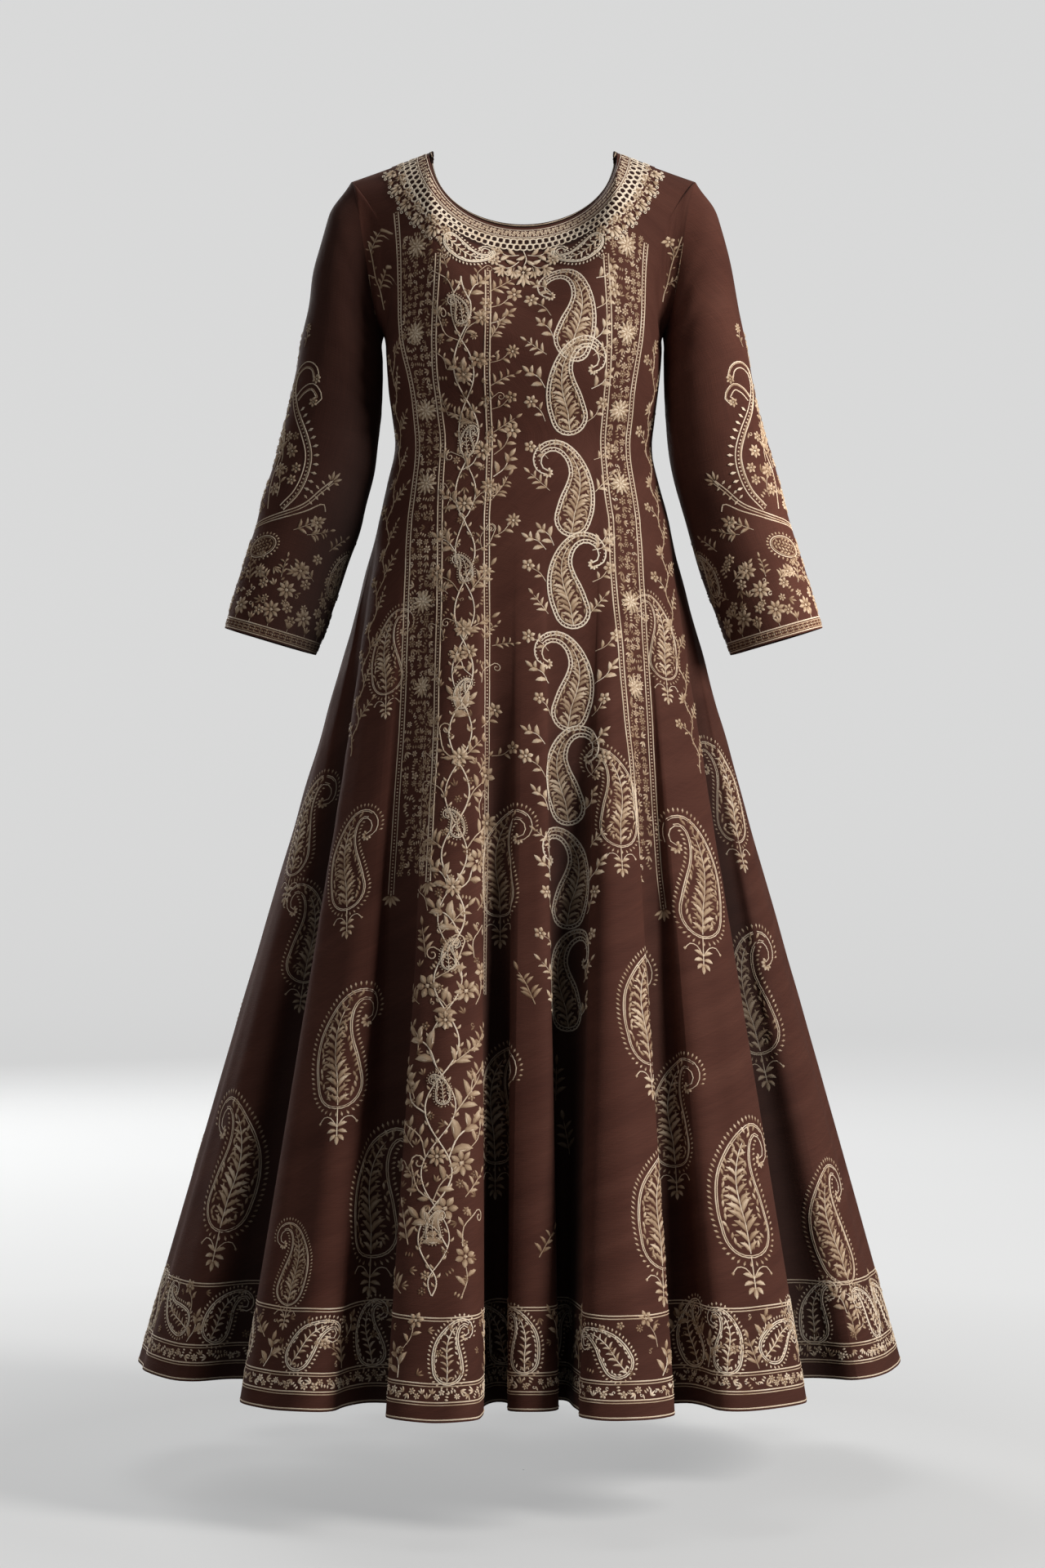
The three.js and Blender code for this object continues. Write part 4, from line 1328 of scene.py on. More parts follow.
# A few sprigs near centre front, lower down.
for u, v, turn in ((0.031, 0.44, 10), (0.033, 0.164, -15), (-0.03, 0.3, 25), (0.16, 0.33, 0),
                   (0.24, 0.27, 12)):
    sew(SPRAYS[int(v * 100) % 3], u, v, turn, 0.9, dim=0.1)

# Butas, which are single paisleys, on the front of the skirt: u and v of the middle, height in
# metres, turn in degrees and whether the tip is on the other side.
FRONT_BUTAS = [
    (-0.633, 0.842, 0.1, 4, False), (-0.72, 0.6, 0.115, 8, False), (-1.03, 0.64, 0.12, 0, False),
    (-0.953, 0.514, 0.115, 0, True), (-0.092, 0.599, 0.12, 0, False),
    (0.66, 0.86, 0.1, 0, True), (0.395, 0.674, 0.115, 2, True), (0.72, 0.581, 0.14, -6, True),
    (0.99, 0.68, 0.12, 0, True), (0.955, 0.443, 0.14, 4, False), (-0.671, 0.39, 0.135, 4, False),
    (-1.0, 0.245, 0.15, 0, True), (-0.524, 0.232, 0.145, 0, False),
    (-0.72, 0.155, 0.09, -4, True), (-0.114, 0.328, 0.13, 0, False),
    (0.432, 0.439, 0.13, 2, False), (0.437, 0.22, 0.135, -3, False),
    (0.546, 0.318, 0.12, 0, False), (0.722, 0.235, 0.15, 0, False),
    (1.014, 0.175, 0.135, 4, False),
]
for i, (u, v, height, turn, mirror) in enumerate(FRONT_BUTAS):
    sew(BUTAS[i % 3], u, v, turn, height / BUTA_HEIGHT, mirror, (0, -height / 2))

# The rest of the skirt, which the photograph doesn't show, has them in staggered rows.
BUTA_PITCH = 0.2 / 0.122  # the distance between them for their height
BACK_FROM = 1.13  # u
for k, (v, height) in enumerate([(0.2, 0.14), (0.365, 0.132), (0.525, 0.122), (0.675, 0.112),
                                 (0.815, 0.1), (0.945, 0.09)]):
    for side in (1, -1):
        for i in range(12):
            away = (i + 0.5 * (k % 2)) * BUTA_PITCH * height
            u = beside(BODY, 2.0 * side, v, -side * away)
            if side * u < BACK_FROM:
                break
            if away == 0 and side < 0:
                continue
            sew(BUTAS[(i + k) % 3], u, v + rng.uniform(-0.008, 0.008), rng.uniform(-5, 5),
                height / BUTA_HEIGHT, u > 0, (0, -height / 2))

# The chain of hooked paisleys beside centre front, with sprigs on both sides.
SKIRT_LENGTH, BODICE_LENGTH = 0.9, 0.185  # metres to one v, below the hip and above it
CHAIN = [(0.2, 2.2), (0.182, 1.74), (0.212, 1.16), (0.189, 0.925), (0.206, 0.806),
         (0.176, 0.698), (0.218, 0.58), (0.196, 0.465)]
for i, (u, v) in enumerate(CHAIN):
    sew(CHAIN_DROP, u, v, 6 if i % 2 else -4, 1.0, i % 2 == 0, (0, -0.056),
        base=0.3 * MM * (i % 2))
    for s in (-1, 1):
        for j, rise in enumerate((-0.036, -0.002, 0.032)):
            row = v + rise / (SKIRT_LENGTH if v < 1 else BODICE_LENGTH)
            place = beside(BODY, u, row, s * (25 if j else 22) * MM)
            motif = (BIG_LEAVES, BLOSSOMS[0], BIG_LEAVES, SPRAYS[0], BLOSSOMS[1])[(i + j) % 5]
            sew(motif, place, row, -s * (38 + 9 * j), 0.64 + 0.06 * (j % 2), dim=-0.12)

# Vines up the side panels.
SIDE_VINES = [
    [(-0.823, 2.908), (-0.861, 2.793), (-0.878, 2.547)],
    [(0.821, 2.962), (0.844, 2.81), (0.861, 2.554)],
    [(-0.745, 2.0), (-0.785, 1.6), (-0.75, 1.176), (-0.72, 0.958), (-0.76, 0.881), (-0.78, 0.72)],
    [(0.745, 2.0), (0.8, 1.6), (0.77, 1.181), (0.742, 0.958), (0.752, 0.88), (0.77, 0.793),
     (0.79, 0.7)]]
for path in SIDE_VINES:
    vine(path, [SPRAYS[0], BLOSSOMS[1], SPRAYS[1], CLUSTERS[0]], 20 * MM, 4 * MM, scale=0.6,
         leaves=7 * MM, shade=0.65)


def panel_rail(surface, name, chosen, height, width, shade, closed=False):
    """A line round the cloth at a height above its first row."""
    columns = chosen.astype(float)
    rows = np.array([np.interp(height, surface.up[:, c], np.arange(len(surface.rows)))
                     for c in chosen])
    rail(name, *surface.at(columns, rows), width, shade, closed=closed)


def columns_between(surface, start, end):
    """Which columns are from start to end."""
    return (surface.columns > start - 1e-9) & (surface.columns < end + 1e-9)


for name, (start, end) in PANELS.items():
    chosen = np.flatnonzero(columns_between(BODY, start, end))
    for height, width, shade in ((102.5, 1.3, 0.85), (99.5, 1.1, 0.75), (38.0, 1.3, 0.85),
                                 (35.2, 1.0, 0.7), (19.5, 1.3, 0.85), (16.8, 1.0, 0.7),
                                 (2.5, 1.3, 0.85)):
        panel_rail(BODY, "embroidery_" + name, chosen, height * MM, width * MM, shade)


def hem_places(step, start=-2.0, end=2.0):
    """u numbers evenly spaced along the hem."""
    a, b = np.interp([start, end], HEM_U, HEM_ARC * MM)
    return np.interp(np.arange(a + step / 2, b, step) / MM, HEM_ARC, HEM_U)


# The border's paisleys, with u, turn and whether they are mirrored: the front ones, then the rest.
BORDER_PITCH = 0.082
BORDER = [(-1.046, 62, False), (-0.97, -20, False), (-0.855, 40, True), (-0.673, -38, False),
          (-0.52, 10, False), (-0.405, 35, True), (-0.259, -4, False), (-0.11, 20, True),
          (0.016, 4, True), (0.16, -20, False), (0.375, 40, True), (0.48, -15, False),
          (0.56, 12, False), (0.655, -6, True), (0.755, -50, False), (0.86, 20, True),
          (0.967, -12, False), (1.045, 30, True)]
for s, span in ((1, (1.06, 2.0)), (-1, (-2.0, -1.06))):
    BORDER += [(u, s * (35, -40, 10, -12)[i % 4], i % 2 == 0)
               for i, u in enumerate(hem_places(BORDER_PITCH, *span))]
BORDER.sort()
for i, (u, turn, mirror) in enumerate(BORDER):
    sew(BORDER_DROPS[i % 3], u, row_at(BODY, u, 0.0685), turn, 1.08, mirror, (0, -0.033))
    after = BORDER[i + 1][0] if i + 1 < len(BORDER) else 2.0
    a, b = np.interp([u, after], HEM_U, HEM_ARC)
    middle = float(np.interp((a + b) / 2, HEM_ARC, HEM_U))
    for height, lean, scale, shift in ((0.041, 14, 0.78, 0.0), (0.07, -24, 0.72, 0.004),
                                       (0.052, 62, 0.5, -0.006)):
        side = 1 if i % 2 else -1
        place = beside(BODY, middle, row_at(BODY, middle, height), shift * side)
        kind = (i + int(height * 1000)) % 5
        sew((BIG_LEAVES, SPRAYS[0], BLOSSOMS[0], BIG_LEAVES, SPRAYS[2])[kind], place,
            row_at(BODY, place, height), lean * side, scale)
for i, u in enumerate(hem_places(5.2 * MM)):
    sew(small_motif(), u, row_at(BODY, u, (0.025, 0.0295)[i % 2]), rng.uniform(0, 360), 0.76,
        dim=-0.3)
for i, u in enumerate(hem_places(11 * MM)):
    sew(small_motif(), u, row_at(BODY, u, (0.047, 0.09, 0.068, 0.093)[i % 4]),
        rng.uniform(0, 360), 0.8, dim=0.1)

# ---- Sleeves' embroidery -------------------------------------------------------------------------

# Places on the wearer's right sleeve: how far round from the outer fold over the front, and the
# row; the left sleeve is its mirror image.
S_CURVE = [(0.174, 4.12), (0.155, 4.28), (0.115, 4.28), (0.075, 4.1), (0.072, 3.85),
           (0.105, 3.55), (0.165, 3.2), (0.2, 2.9), (0.207, 2.6), (0.195, 2.3), (0.16, 2.05)]
S_CURL = [(0.178, 3.72), (0.196, 3.84), (0.165, 3.97), (0.13, 3.86), (0.105, 3.7)]
BRANCHES = [[(0.03, 1.72), (0.15, 1.95), (0.225, 2.15), (0.268, 2.42), (0.295, 2.58)],
            [(0.03, 1.65), (0.15, 1.86), (0.235, 2.05), (0.285, 2.22), (0.3, 2.12)],
            [(0.1, 2.0), (0.075, 2.5), (0.085, 3.0), (0.03, 3.4)]]
STAR_PLACES = [(0.23, 0.47, 0), (0.342, 0.46, 0), (0.113, 0.42, 0), (0.428, 0.42, 0),
               (0.281, 1.156, 0), (0.258, 0.823, 0), (0.285, 1.93, 1), (0.137, 2.875, 1),
               (0.1, 2.594, 1), (0.166, 2.469, 2), (0.109, 2.302, 1), (0.107, 3.083, 2),
               (0.148, 1.01, 1), (0.176, 0.844, 2), (0.311, 0.969, 2), (0.322, 1.385, 2),
               (0.03, 0.45, 1), (0.03, 1.1, 2), (0.279, 0.552, 2), (0.301, 0.365, 2),
               (0.17, 2.65, 2), (0.19, 0.42, 2), (0.39, 0.6, 2), (0.47, 0.85, 1), (0.06, 2.9, 2),
               (0.04, 2.2, 1), (0.53, 0.43, 0), (0.62, 0.46, 0), (0.71, 0.43, 0), (0.8, 0.46, 0),
               (0.89, 0.43, 0), (0.66, 0.95, 1), (0.83, 0.95, 1), (0.57, 0.95, 2), (0.75, 1.2, 2),
               (0.91, 1.2, 1), (0.94, 0.8, 2)]
SPRIG_PLACES = [(0.229, 1.0, 20, 1, 0.6), (0.221, 1.75, -55, 0, 0.7), (0.266, 1.72, -80, 2, 0.6),
                (0.354, 1.55, -20, 1, 0.7), (0.334, 1.05, 60, 0, 0.6), (0.19, 0.9, 40, 2, 0.6),
                (0.12, 0.8, 20, 0, 0.6), (0.374, 0.8, -40, 1, 0.6), (0.06, 1.2, 30, 2, 0.7),
                (0.05, 0.75, -10, 1, 0.6), (0.06, 2.6, 5, 0, 0.9), (0.1, 2.7, 25, 1, 0.8),
                (0.03, 3.1, -10, 2, 0.8), (0.13, 2.2, 15, 0, 0.7), (0.44, 1.0, 20, 0, 0.7),
                (0.46, 1.5, -10, 1, 0.6), (0.6, 1.1, 10, 0, 0.8), (0.7, 1.05, -10, 2, 0.8),
                (0.79, 1.1, 10, 1, 0.8), (0.88, 1.15, -10, 0, 0.8), (0.99, 1.9, 0, 1, 0.9),
                (0.96, 2.6, 10, 0, 0.8), (0.02, 4.2, 10, 1, 0.9), (0.08, 4.55, -10, 2, 0.5)]


def around(side, a):
    return a if side < 0 else 1 - a


def sleeve_work(side, motif, a, row, turn=0.0, scale=1.0, shift=(0, 0)):
    sew(motif, around(side, a), row, turn if side < 0 else -turn, scale, side > 0,
        shift if side < 0 else (-shift[0], shift[1]), 0.15 * MM, layer=SLEEVE_LAYER[side],
        surface=SLEEVES[side])


SLEEVE_LAYER = {1: "embroidery_sleeve_left", -1: "embroidery_sleeve_right"}
CUFF_STITCH, CUFF_STITCHES = star(3.4 * MM, 4, 0.6), 46
SLEEVE_GAP = 0.0045  # how near, in a mix of places round and rows, two small motifs can be


def comb(name, surface, path, distance, size, step, shade, way):
    """Stitches that stand off one side of a path."""
    _, points, normals = on_surface(surface, path, step)
    along, side = along_and_across(points, normals)
    side = side * way
    tick_faces = section_faces(3, True, True, False)[0]
    for i in range(1, len(points) - 1):
        base = points[i] + side[i] * distance
        middle, tip = base + side[i] * size * 0.6, base + side[i] * size
        half = along[i] * size * 0.22 * way
        block = np.array([base, middle - half, middle + normals[i] * 0.7 * MM, middle + half, tip])
        to_layer(name, block, tick_faces, shade)


def once_round(surface):
    return (surface.columns > -1e-9) & (surface.columns < 1 - 1e-9)


def sleeve_embroidery(side):
    surface, name = SLEEVES[side], SLEEVE_LAYER[side]
    once = np.flatnonzero(once_round(surface))
    for height, width, shade in ((2.2, 1.2, 0.8), (4.2, 0.9, 0.55), (10.6, 1.0, 0.6),
                                 (12.8, 1.3, 0.85)):
        panel_rail(surface, name, once, height * MM, width * MM, shade, closed=True)
    for k in range(CUFF_STITCHES):
        a = k / CUFF_STITCHES
        sew(CUFF_STITCH, a, row_at(surface, a, 0.0074), 0, surface=surface, layer=name)

    def to_side(path):
        return [(around(side, a), row) for a, row in path]

    left_of = -1 if side < 0 else 1
    for path in (S_CURVE, S_CURL):
        rails(name, surface, to_side(path), 3.6, (1.3, 0.85, 3.4), (1.3, 0.85, -3.4),
              (0.9, 0.6, 1.9))
    _, points, normals = on_surface(surface, to_side(S_CURVE[3:]), 4.2 * MM)
    pads(name, points, normals, (2.4 * MM, 2.2 * MM), 0.75)
    comb(name, surface, to_side(S_CURVE[5:-1]), 5.2 * MM, 7.5 * MM, 7.4 * MM, 0.85, -left_of)
    sleeve_work(side, STARS[2], *S_CURVE[0], scale=0.9)
    sleeve_work(side, STARS[2], *S_CURL[0], scale=0.9)
    for path in BRANCHES:
        rails(name, surface, to_side(path), 3.6, (1.3, 0.8, 0))
    rails(name, surface, to_side(BRANCHES[0]), 3.6, (1.1, 0.7, 3.0 * left_of))
    for way in (1, -1):
        comb(name, surface, to_side(BRANCHES[0][2:]), 1.0 * MM, 6 * MM, 6 * MM, 0.75, way)
    sleeve_work(side, PALM, 0.295, 2.56, -30)
    sleeve_work(side, BULB, 0.125, 1.4, 22)
    sleeve_work(side, paisley(0.055, rooted=False, pairs=6, gap=2.0), 0.425, 1.25, 0, 1.0,
                shift=(0, -0.027))
    for a in (0.62, 0.8):
        sleeve_work(side, BULB, a, 1.75, 12, 1.1, shift=(0, -0.03))
    for a, row, kind in STAR_PLACES:
        sleeve_work(side, STARS[kind], a, row, rng.uniform(0, 40))
    for a, row, turn, kind, scale in SPRIG_PLACES:
        sleeve_work(side, (SPRAYS if row < 2 else BLOSSOMS)[kind], a, row, turn, scale)
    taken = [(a, row) for a, row, *_ in STAR_PLACES + SPRIG_PLACES] + [(0.125, 1.4)] * 2
    for a0, a1, r0, r1, count in ((0.0, 0.47, 0.5, 1.3, 60), (0.5, 1.0, 0.5, 1.3, 50),
                                  (0.0, 0.07, 1.9, 3.9, 40), (0.07, 0.15, 2.2, 3.2, 20),
                                  (0.94, 1.0, 1.5, 3.5, 30)):
        for _ in range(count):
            a, row = rng.uniform(a0, a1), rng.uniform(r0, r1)
            turn, motif = rng.uniform(0, 360), small_motif()
            if min((a - b) ** 2 * 30 + (row - c) ** 2 * 0.1 for b, c in taken) > SLEEVE_GAP:
                taken.append((a, row))
                sleeve_work(side, motif, a, row, turn)
    for k in range(15):
        a = 0.035 + k / 15
        sleeve_work(side, CLUSTERS[2], a, row_at(surface, around(side, a), 0.016), 0, 0.55)
        a += 0.03
        sleeve_work(side, STARS[2], a, row_at(surface, around(side, a), 0.043), 0, 0.7)


@drawn
def palm(work):
    stem(work, [(0, -5 * MM), (0, 0), (0, 4 * MM)], 1.2 * MM, 0.85, 4)
    for spread, reach in ((0, 15), (0.5, 13), (-0.5, 13), (1.1, 9), (-1.1, 9)):
        leaf(work, polar(2 * MM, spread), polar(reach * MM, spread), 3.0 * MM, 0.8)


def oval(half_x, half_y, count):
    a = np.linspace(0, 2 * PI, count, endpoint=False)
    return np.stack([half_x * np.cos(a), half_y * np.sin(a)], axis=1)


@drawn
def bulb_motif(work):
    """A lying oval in two lines and a row of drops, closely filled."""
    work.thread(oval(18.5 * MM, 11.5 * MM, 44), 1.1 * MM, 0.85, closed=True)
    work.thread(oval(16.6 * MM, 9.6 * MM, 40), 0.9 * MM, 0.6, closed=True)
    for at in oval(21.5 * MM, 14.2 * MM, 26):
        out = at / np.linalg.norm(at)
        leaf(work, at - out * 1.6 * MM, at + out * 2.0 * MM, 2.2 * MM, 0.8)
    for i in range(7):
        for j in range(5):
            x, y = (i - 3 + 0.5 * (j % 2)) * 4.4 * MM, (j - 2) * 3.6 * MM
            if (x / 14.5) ** 2 + (y / 8) ** 2 < 1 * MM ** 2:
                way = rng.uniform(0.4, 1.2) * (1 if j % 2 else -1)
                leaf(work, (x, y) - polar(2.6 * MM, way), (x, y) + polar(2.6 * MM, way), 2.7 * MM,
                     rng.uniform(0.55, 0.8))


PALM, BULB = palm(), bulb_motif()
for side in (1, -1):
    sleeve_embroidery(side)

# ---- Yoke ----------------------------------------------------------------------------------------


HALVINGS = 34  # steps to narrow down a place


def yoke_surface(is_front):
    """The yoke's grid, from shoulder seam to shoulder seam; rows run from its outer edge to the
    neck."""
    columns, rows = np.linspace(-1, 1, 201), np.linspace(0, 1, 17)
    out = 1 - rows[:, None]
    half = lerp(NECK_HALF, YOKE_HALF, out)
    depth = lerp(*((NECK_FRONT[0], YOKE_FRONT) if is_front else (NECK_BACK[0], YOKE_BACK)), out)

    def place(angle):
        x, z = half * np.sin(angle), -depth * np.cos(angle)
        low, high = np.zeros_like(x), np.full_like(x, 0.74)
        front = np.full(x.shape, is_front)
        for _ in range(HALVINGS):
            w = (low + high) / 2
            end = top_edge(w, front)
            start = bodice(w if is_front else 2 - w, np.full_like(w, CHEST_Z))
            t = (z - start[..., 2]) / (end[..., 2] - start[..., 2])
            inside = lerp(start[..., 0], end[..., 0], np.clip(t, 0, 1) ** 3) < x
            low, high = np.where(inside, w, low), np.where(inside, high, w)
        return w, t

    low, high = np.zeros_like(half), np.full_like(half, PI / 2)
    for _ in range(26):
        middle = (low + high) / 2
        _, t = place(middle)
        low, high = np.where(t < 1, middle, low), np.where(t < 1, high, middle)
    low[-1] = PI / 2
    w, t = place(np.abs(columns) * low)
    u = np.sign(columns) * w if is_front else 2 + np.sign(columns) * w
    points = upper(u, np.clip(t, 0, 1)) * MM
    return Surface(columns, rows, points)


YOKES = {"front": yoke_surface(True), "back": yoke_surface(False)}
for surface in YOKES.values():
    fix = surface.normals
    edge = np.stack([fix[:, 2], fix[:, -3]], axis=1)
    for i, column in enumerate((0, -1)):
        fix[:, column] = unit(edge[:, i] * (1, 0.15, 1))
YOKE_WIDTH, YOKE_FLOWERS = 56 * MM, 80
NET_ROWS = (19.0, 3.95), (25.6, 3.95), (32.0, 3.7)  # distance from the neckline, cells' radius
GROUND_LIFT = (0.25 * MM, 0.75 * MM)  # the yoke ground's underside and top, over the dress


def yoke_ring(surface, out):
    """Points and normals of a ring, out metres from the neckline."""
    columns = np.arange(len(surface.columns)).astype(float)
    r = np.interp(1 - out / YOKE_WIDTH, surface.rows, np.arange(len(surface.rows)))
    rows = np.full(len(columns), r)
    return surface.at(columns, rows)


def ring_line(at, radius, count):
    a = np.linspace(0, 2 * PI, count, endpoint=False)
    return np.asarray(at) + np.stack([np.cos(a), np.sin(a)], axis=1) * radius


@drawn
def net_cell(work, radius):
    work.thread(ring_line((0, 0), radius, 14), 1.75 * MM, 0.97, closed=True, rise=1.2)


@drawn
def scallop(work):
    """A fan of rounded petals, with rings between their ends and a curled leaf on each side."""
    for a, reach in ((-0.98, 10), (-0.5, 13), (0.0, 14.5), (0.5, 13), (0.98, 10)):
        tip = polar(reach * MM, a)
        work.thread([polar(3.5 * MM, a), tip * 0.55, tip * 0.82, tip],
                    np.array([0, 3.4, 3.7, 0]) * MM, 0.98, rise=1.5)
    for a in (-0.76, -0.25, 0.25, 0.76):
        work.thread(ring_line(polar(14.2 * MM, a), 1.5 * MM, 8), 1.0 * MM, 1.0, closed=True,
                    rise=1.5)
    for s in (-1, 1):
        leaf(work, (s * 1.5 * MM, 0), (s * 8.5 * MM, 1.5 * MM), 2.6 * MM, 0.9, 0.2 * s)
    dot(work, (0, 1.5 * MM), 3.4 * MM, 1.0)


def yoke_embroidery(side):
    surface = YOKES[side]
    name = "embroidery_yoke_" + side
    lift = GROUND_LIFT[1]
    is_front = side == "front"
    for out, width, shade in ((3.7, 0.9, 1.0), (13.2, 1.0, 1.0), (14.6, 0.7, 0.7)):
        points, normals = yoke_ring(surface, out * MM)
        rail(name, points, normals, width * MM, shade, base=lift)

    def place(motif, f, out, turn=0.0, scale=1.0, rise=0.0):
        sew(motif, f, 1 - out * MM / YOKE_WIDTH, turn, scale, base=lift + rise * MM,
            surface=surface, layer=name)

    for row, (out, radius) in enumerate(NET_ROWS):
        total = float(np.interp(1 - out * MM / YOKE_WIDTH, surface.rows, surface.across[:, -1]))
        count = int(total / ((8.1 if row < 2 else 7.6) * MM))
        for k in range(count):
            f = -1 + 2 * (k + 0.5 + 0.5 * (row % 2)) / count
            if f < 1 and not (row == 2 and is_front and abs(f) < 0.46):
                place(net_cell(radius * MM), f, out)
    for k in range(YOKE_FLOWERS):
        f = -0.99 + 1.98 * k / (YOKE_FLOWERS - 1)
        place(star(2.6 * MM, 5, 1.0), f, 6.7 + 3.3 * (k % 2))
        place(SPRIGLET, f + 0.004, 10.2 - 3.3 * (k % 2), 100 if k % 2 else -80, 1.0)
    fan = scallop()
    ends = np.linspace(0.94, 0.5, 5) if is_front else np.linspace(0.95, 0.04, 9)
    for k, away in enumerate(ends):
        for s in (-1, 1):
            place(fan, s * away, 38.5, 180 - s * away * 6)
            between = s * (away - 0.055)
            place(STARS[1], between, 34.8, 20 * k, 0.8, rise=0.3)
            place(CLUSTERS[2], between, 42.5, 180, 0.5)
            place(STARS[2], s * (away + 0.015), 34.6, 10 * k, 0.75, rise=0.3)
    if not is_front:
        return
    front = {"base": 1.1 * MM, "layer": name, "dim": -0.15}
    drop = paisley(0.062, rooted=False, pairs=8, gap=1.8, fill_shade=0.8, line_shade=1.0,
                   weight=1.6)
    for s in (-1, 1):
        sew(drop, s * 0.215, 2.625, s * 118, 1.0, s < 0, (0, -0.03), **front)
        for motif, u, v, turn, scale, mirror in (
                (STARS[1], 0.098, 2.66, 0, 0.95, False),
                (BIG_LEAVES, 0.012, 2.74, -s * 84, 0.66, s < 0),
                (BIG_LEAVES, 0.012, 2.68, -s * 118, 0.66, s < 0),
                (CLUSTERS[0], 0.07, 2.6, 180 + s * 25, 0.6, False),
                (CLUSTERS[0], 0.03, 2.6, 180 + s * 12, 0.6, False),
                (TENDRILS[0], 0.33, 2.57, 180 - s * 10, 0.42, s > 0),
                (STARS[2], 0.31, 2.62, 0, 0.9, False)):
            sew(motif, s * u, v, turn, scale, mirror, **front)
    sew(BIG_BLOSSOM, 0, 2.78, 180, 0.78, **front)
    sew(CLUSTERS[2], 0, 2.56, 180, 0.9, **front)


@drawn
def spriglet(work):
    for spread in (-0.75, 0.0, 0.75):
        tip = polar((2.8 if spread else 3.6) * MM, spread) - (0, 1.5 * MM)
        leaf(work, (0, -1.5 * MM), tip, 1.7 * MM, 0.95)


SPRIGLET = spriglet()
for side in YOKES:
    yoke_embroidery(side)


# Painted light and shade on each sleeve: the right one is painted darker and the left one lighter,
# as the key light falls from the wearer's left, and what that is multiplied by at the top, on the
# outer side of the cuff and on the side next to the body.
SLEEVE_PAINTED_SHADING = {1: 1.15, -1: 0.58}
SLEEVE_SHADING_ENDS = {1: (1.0, 1.5, 0.45), -1: (0.9, 1.7, 0.12)}


def painted_sleeve_shading(side, points):
    """Painted light and shade of points on a sleeve: lighter on its outer side and darker on the
    side next to the dress, which lies in the dress's shade.
    """
    surface = SLEEVES[side]
    middles = surface.points[:, :-1].mean(axis=1)
    near = np.linalg.norm(points[:, None] - middles[None], axis=2).argmin(axis=1)
    first = np.abs(surface.columns).argmin()
    out = unit(surface.points[:, first] - middles)
    inward = (1 - (unit(points - middles[near]) * out[near]).sum(axis=1)) / 2
    top, outer, inner = SLEEVE_SHADING_ENDS[side]
    strength = np.interp(surface.rows[near], [2, 6.5], [1, 0.15])
    return SLEEVE_PAINTED_SHADING[side] * lerp(top, lerp(outer, inner, inward), strength)


def make_layers():
    made = {}
    for name, layer in LAYERS.items():
        points = np.concatenate(layer["points"])
        # thread in the skirt's folds gets painted shade, and thread on the sleeves painted light
        # and shade
        tone = painted_fold_shade(points)
        for side, sleeve in SLEEVE_LAYER.items():
            if name == sleeve:
                tone = painted_sleeve_shading(side, points)
        piece = mesh_object(name, points, np.concatenate(layer["faces"]), THREAD,
                            {"shade": np.concatenate(layer["shade"]), "tone": tone})
        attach(piece, "root")
        made[name] = piece
    return made


# ---- Cloth ---------------------------------------------------------------------------------------


BORDER_TOP = 0.101
BORDER_TONE = 0.86  # the border's cloth is a little darker


def walls(surface, chosen):
    """The cloth's outside and inside at the chosen columns, and where its points lie on it."""
    outside = surface.points[:, chosen]
    return (outside, outside - surface.normals[:, chosen] * WALL,
            np.stack([surface.across[:, chosen], surface.up[:, chosen]], axis=-1))


def make_panel(name, start, end):
    chosen = columns_between(BODY, start, end)
    outside, inside, grain = walls(BODY, chosen)
    border = np.where(BODY.up[:, chosen] < BORDER_TOP, BORDER_TONE, 1.0)
    return shell(name + "_cloth", outside, inside, CLOTH, grain, np.tile(border.ravel(), 2))


NET_TONE, GROUND_TONE = 0.35, 0.95  # of the yoke's cloth, under the net and elsewhere
NET_FROM, NET_TO = 14, 34  # millimetres from the neckline
pieces = {name: make_panel(name, *span) for name, span in PANELS.items()}
for side, name in ((1, "sleeve_left"), (-1, "sleeve_right")):
    surface = SLEEVES[side]
    outside, inside, grain = walls(surface, once_round(surface))
    both = np.concatenate([outside.reshape(-1, 3), inside.reshape(-1, 3)])
    # the sleeves' cloth gets painted light and shade
    pieces[name] = shell(name + "_cloth", outside, inside, CLOTH, grain, painted_sleeve_shading(side, both),
                         True)
for side, surface in YOKES.items():
    rows = surface.rows > 0.2
    low, high = (surface.points[rows] + surface.normals[rows] * k for k in GROUND_LIFT)
    grain = np.stack([surface.across[rows], surface.up[rows]], axis=-1)
    out = (1 - surface.rows[rows]) * YOKE_WIDTH / MM
    shades = np.where((out > NET_FROM) & (out < NET_TO), NET_TONE, GROUND_TONE)
    shades = shades[:, None] * np.ones(high.shape[1])
    pieces["yoke_lace_" + side] = shell("yoke_ground_" + side, high, low, CLOTH, grain,
                                        np.tile(shades.ravel(), 2))


def tube(centres, out, radius, sides=8):
    """A closed roll round a loop of points; out is the direction of each section's first point."""
    along = unit(np.roll(centres, -1, axis=0) - np.roll(centres, 1, axis=0))
    across = unit(np.cross(along, out))
    out = unit(np.cross(across, along))
    rings = np.stack([centres + radius * (math.cos(a) * out + math.sin(a) * across)
                      for a in np.arange(sides) * 2 * PI / sides], axis=1)
    index = np.arange(len(centres) * sides).reshape(-1, sides)
    return rings.reshape(-1, 3), quads(np.pad(index, ((0, 1), (0, 1)), "wrap"))


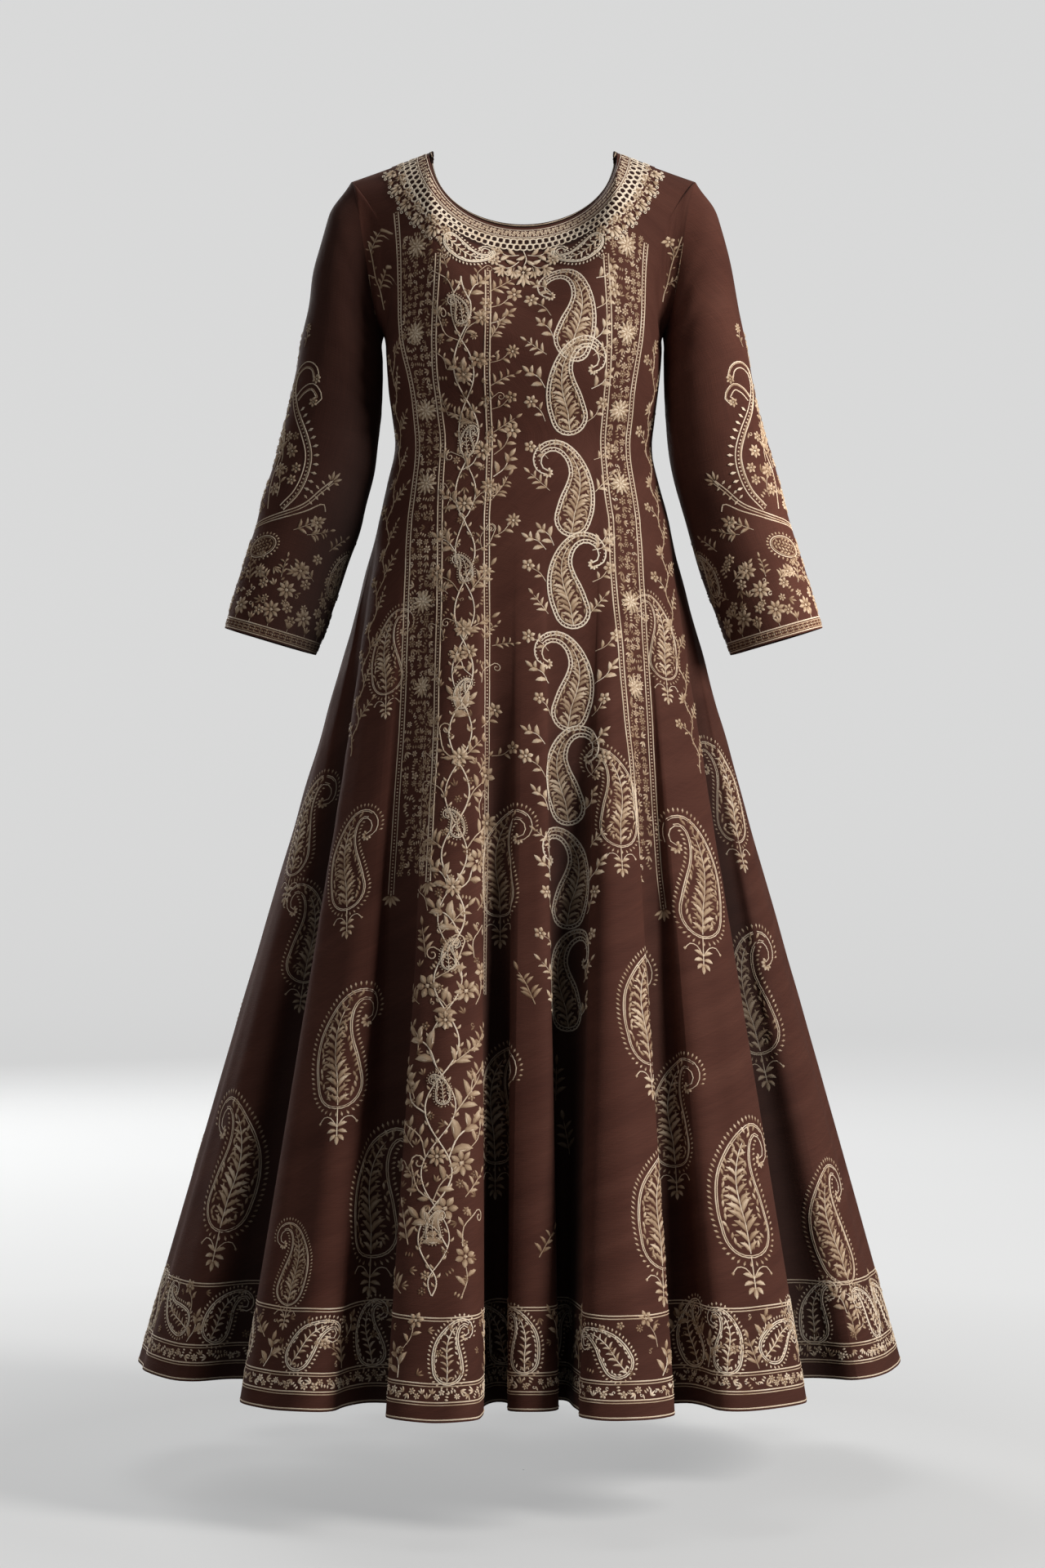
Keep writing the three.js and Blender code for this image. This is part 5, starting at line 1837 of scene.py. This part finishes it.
def neck_rolls():
    """Two dark rolls round the neck opening and the light cord between them."""
    ends, outs, ups = [], [], []
    for side in ("front", "back"):
        surface = YOKES[side]
        ends.append(surface.points[-1, :-1])
        outs.append(surface.normals[-1, :-1])
        ups.append(unit(surface.points[-1] - surface.points[-2])[:-1])
    ends, outs, ups = (np.concatenate(a)[::2] for a in (ends, outs, ups))

    def soften(a):
        for _ in range(3):
            a = (np.roll(a, 1, axis=0) + a * 2 + np.roll(a, -1, axis=0)) / 4
        return a

    outs, ups = unit(soften(outs)), unit(soften(ups))
    points, faces, used = [], [], 0
    for step, radius in ((0.9, 1.35), (3.0, 1.45)):
        ring, skin = tube(ends + ups * step * MM + outs * 0.3 * MM, outs, radius * MM)
        points.append(ring)
        faces.append(skin + used)
        used += len(ring)
    piece = mesh_object("neck_rolls", np.concatenate(points), np.concatenate(faces), PIPING)
    ring, skin = tube(ends + ups * 1.95 * MM + outs * 1.35 * MM, outs, 0.5 * MM, 6)
    cord = mesh_object("neck_cord", ring, skin, THREAD,
                       {"shade": np.full(len(ring), 0.75), "tone": np.ones(len(ring))})
    return piece, cord


pieces["neck_binding"], neck_cord = neck_rolls()
for name, piece in pieces.items():
    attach(piece, "root")
    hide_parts(name)
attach(neck_cord, "root")
layers = make_layers()

# ---- Stage ---------------------------------------------------------------------------------------


def paper_look():
    """Pale paper that glows a little by itself, with painted shade round the dress, where it glows
    less.
    """
    look = Look("studio_paper", 0.95)
    place = look.place()
    color = look.ramp(look.noise(place, 1.2, 1), (0.3, (0.395, 0.4, 0.4)),
                      (0.7, (0.405, 0.41, 0.41)))
    look.color(color)
    away = look.node("ShaderNodeVectorMath", operation="LENGTH")
    look.link(place, away.inputs[0])
    away = look.math("MULTIPLY", away.outputs["Value"], 1 / COVE_RADIUS)
    glow = look.ramp(away, *[(r / COVE_RADIUS, (g, g * 1.003, g * 1.003)) for r, g in PAPER_GLOW])
    look.link(glow, look.shader.inputs["Emission Color"])
    look.shader.inputs["Emission Strength"].default_value = 1.0
    return look.made


FLOOR_Z, COVE_RADIUS, COVE_ROUND, COVE_TOP = -1.422, 9.5, 2.5, 10.0
# distance, radiance; the glow is lowest near the dress, a painted pool of shade round it
PAPER_GLOW = [(0.0, 0.42), (0.6, 0.34), (1.6, 0.48), (4.0, 0.55), (9.4, 0.61)]


def stage():
    """A round studio cove, whose own glow is kept off the dress."""
    profile = [(r, 0.0) for r in np.linspace(0.001, COVE_RADIUS - COVE_ROUND, 24)]
    for a in np.linspace(0, PI / 2, 17)[1:]:
        profile.append((COVE_RADIUS - COVE_ROUND * (1 - math.sin(a)),
                        COVE_ROUND * (1 - math.cos(a))))
    profile.append((COVE_RADIUS, COVE_TOP))
    turns = np.linspace(0, 2 * PI, 96, endpoint=False)
    r, z = np.array(profile).T
    points = np.stack([r[:, None] * np.cos(turns), r[:, None] * np.sin(turns),
                       np.repeat(z[:, None], len(turns), axis=1)], axis=-1)
    index = np.arange(points.shape[0] * len(turns)).reshape(-1, len(turns))
    faces = quads(np.hstack([index, index[:, :1]]))
    cove = mesh_object("studio_backdrop", points.reshape(-1, 3), faces, paper_look())
    cove.location.z = FLOOR_Z
    cove.visible_diffuse = cove.visible_glossy = cove.visible_shadow = False


def area_light(name, place, target, size, power, color=(1, 1, 1)):
    lamp = bpy.data.lights.new(name, "AREA")
    lamp.shape, lamp.size, lamp.energy, lamp.color = "DISK", size, power, color
    made = bpy.data.objects.new(name, lamp)
    made.location = place
    direction = Vector(target) - Vector(place)
    made.rotation_mode = "QUATERNION"
    made.rotation_quaternion = direction.to_track_quat("-Z", "Y")
    made.visible_camera = False
    bpy.context.scene.collection.objects.link(made)


stage()
scene = bpy.context.scene
scene.view_settings.view_transform = "Standard"
world = scene.world or bpy.data.worlds.new("studio")
scene.world = world
world.use_nodes = True
background = world.node_tree.nodes["Background"]
background.inputs["Color"].default_value = (1, 1, 1, 1)
background.inputs["Strength"].default_value = 0.12
# name, place, target, diameter, power, colour
for lamp in (("key", (3.45, -2.05, 0.9), (0, 0, -0.6), 1.3, 165, (1, 0.97, 0.94)),
             ("fill", (-2.6, -3.0, -0.5), (-0.1, 0, -0.9), 1.6, 13),
             ("top", (0.0, 0.9, 3.2), (0, 0.6, -1.4), 2.5, 30),
             ("back", (-2.2, 4.2, 1.2), (0, 0, -0.7), 2.6, 110)):
    area_light(*lamp)

camera = bpy.data.cameras.new("camera")
camera.lens, camera.sensor_width = 85, 36
eye = bpy.data.objects.new("camera", camera)
eye.location = (-0.0009, -4.0, -0.681)
eye.rotation_euler = (PI / 2, 0, 0)
scene.collection.objects.link(eye)
scene.camera = eye
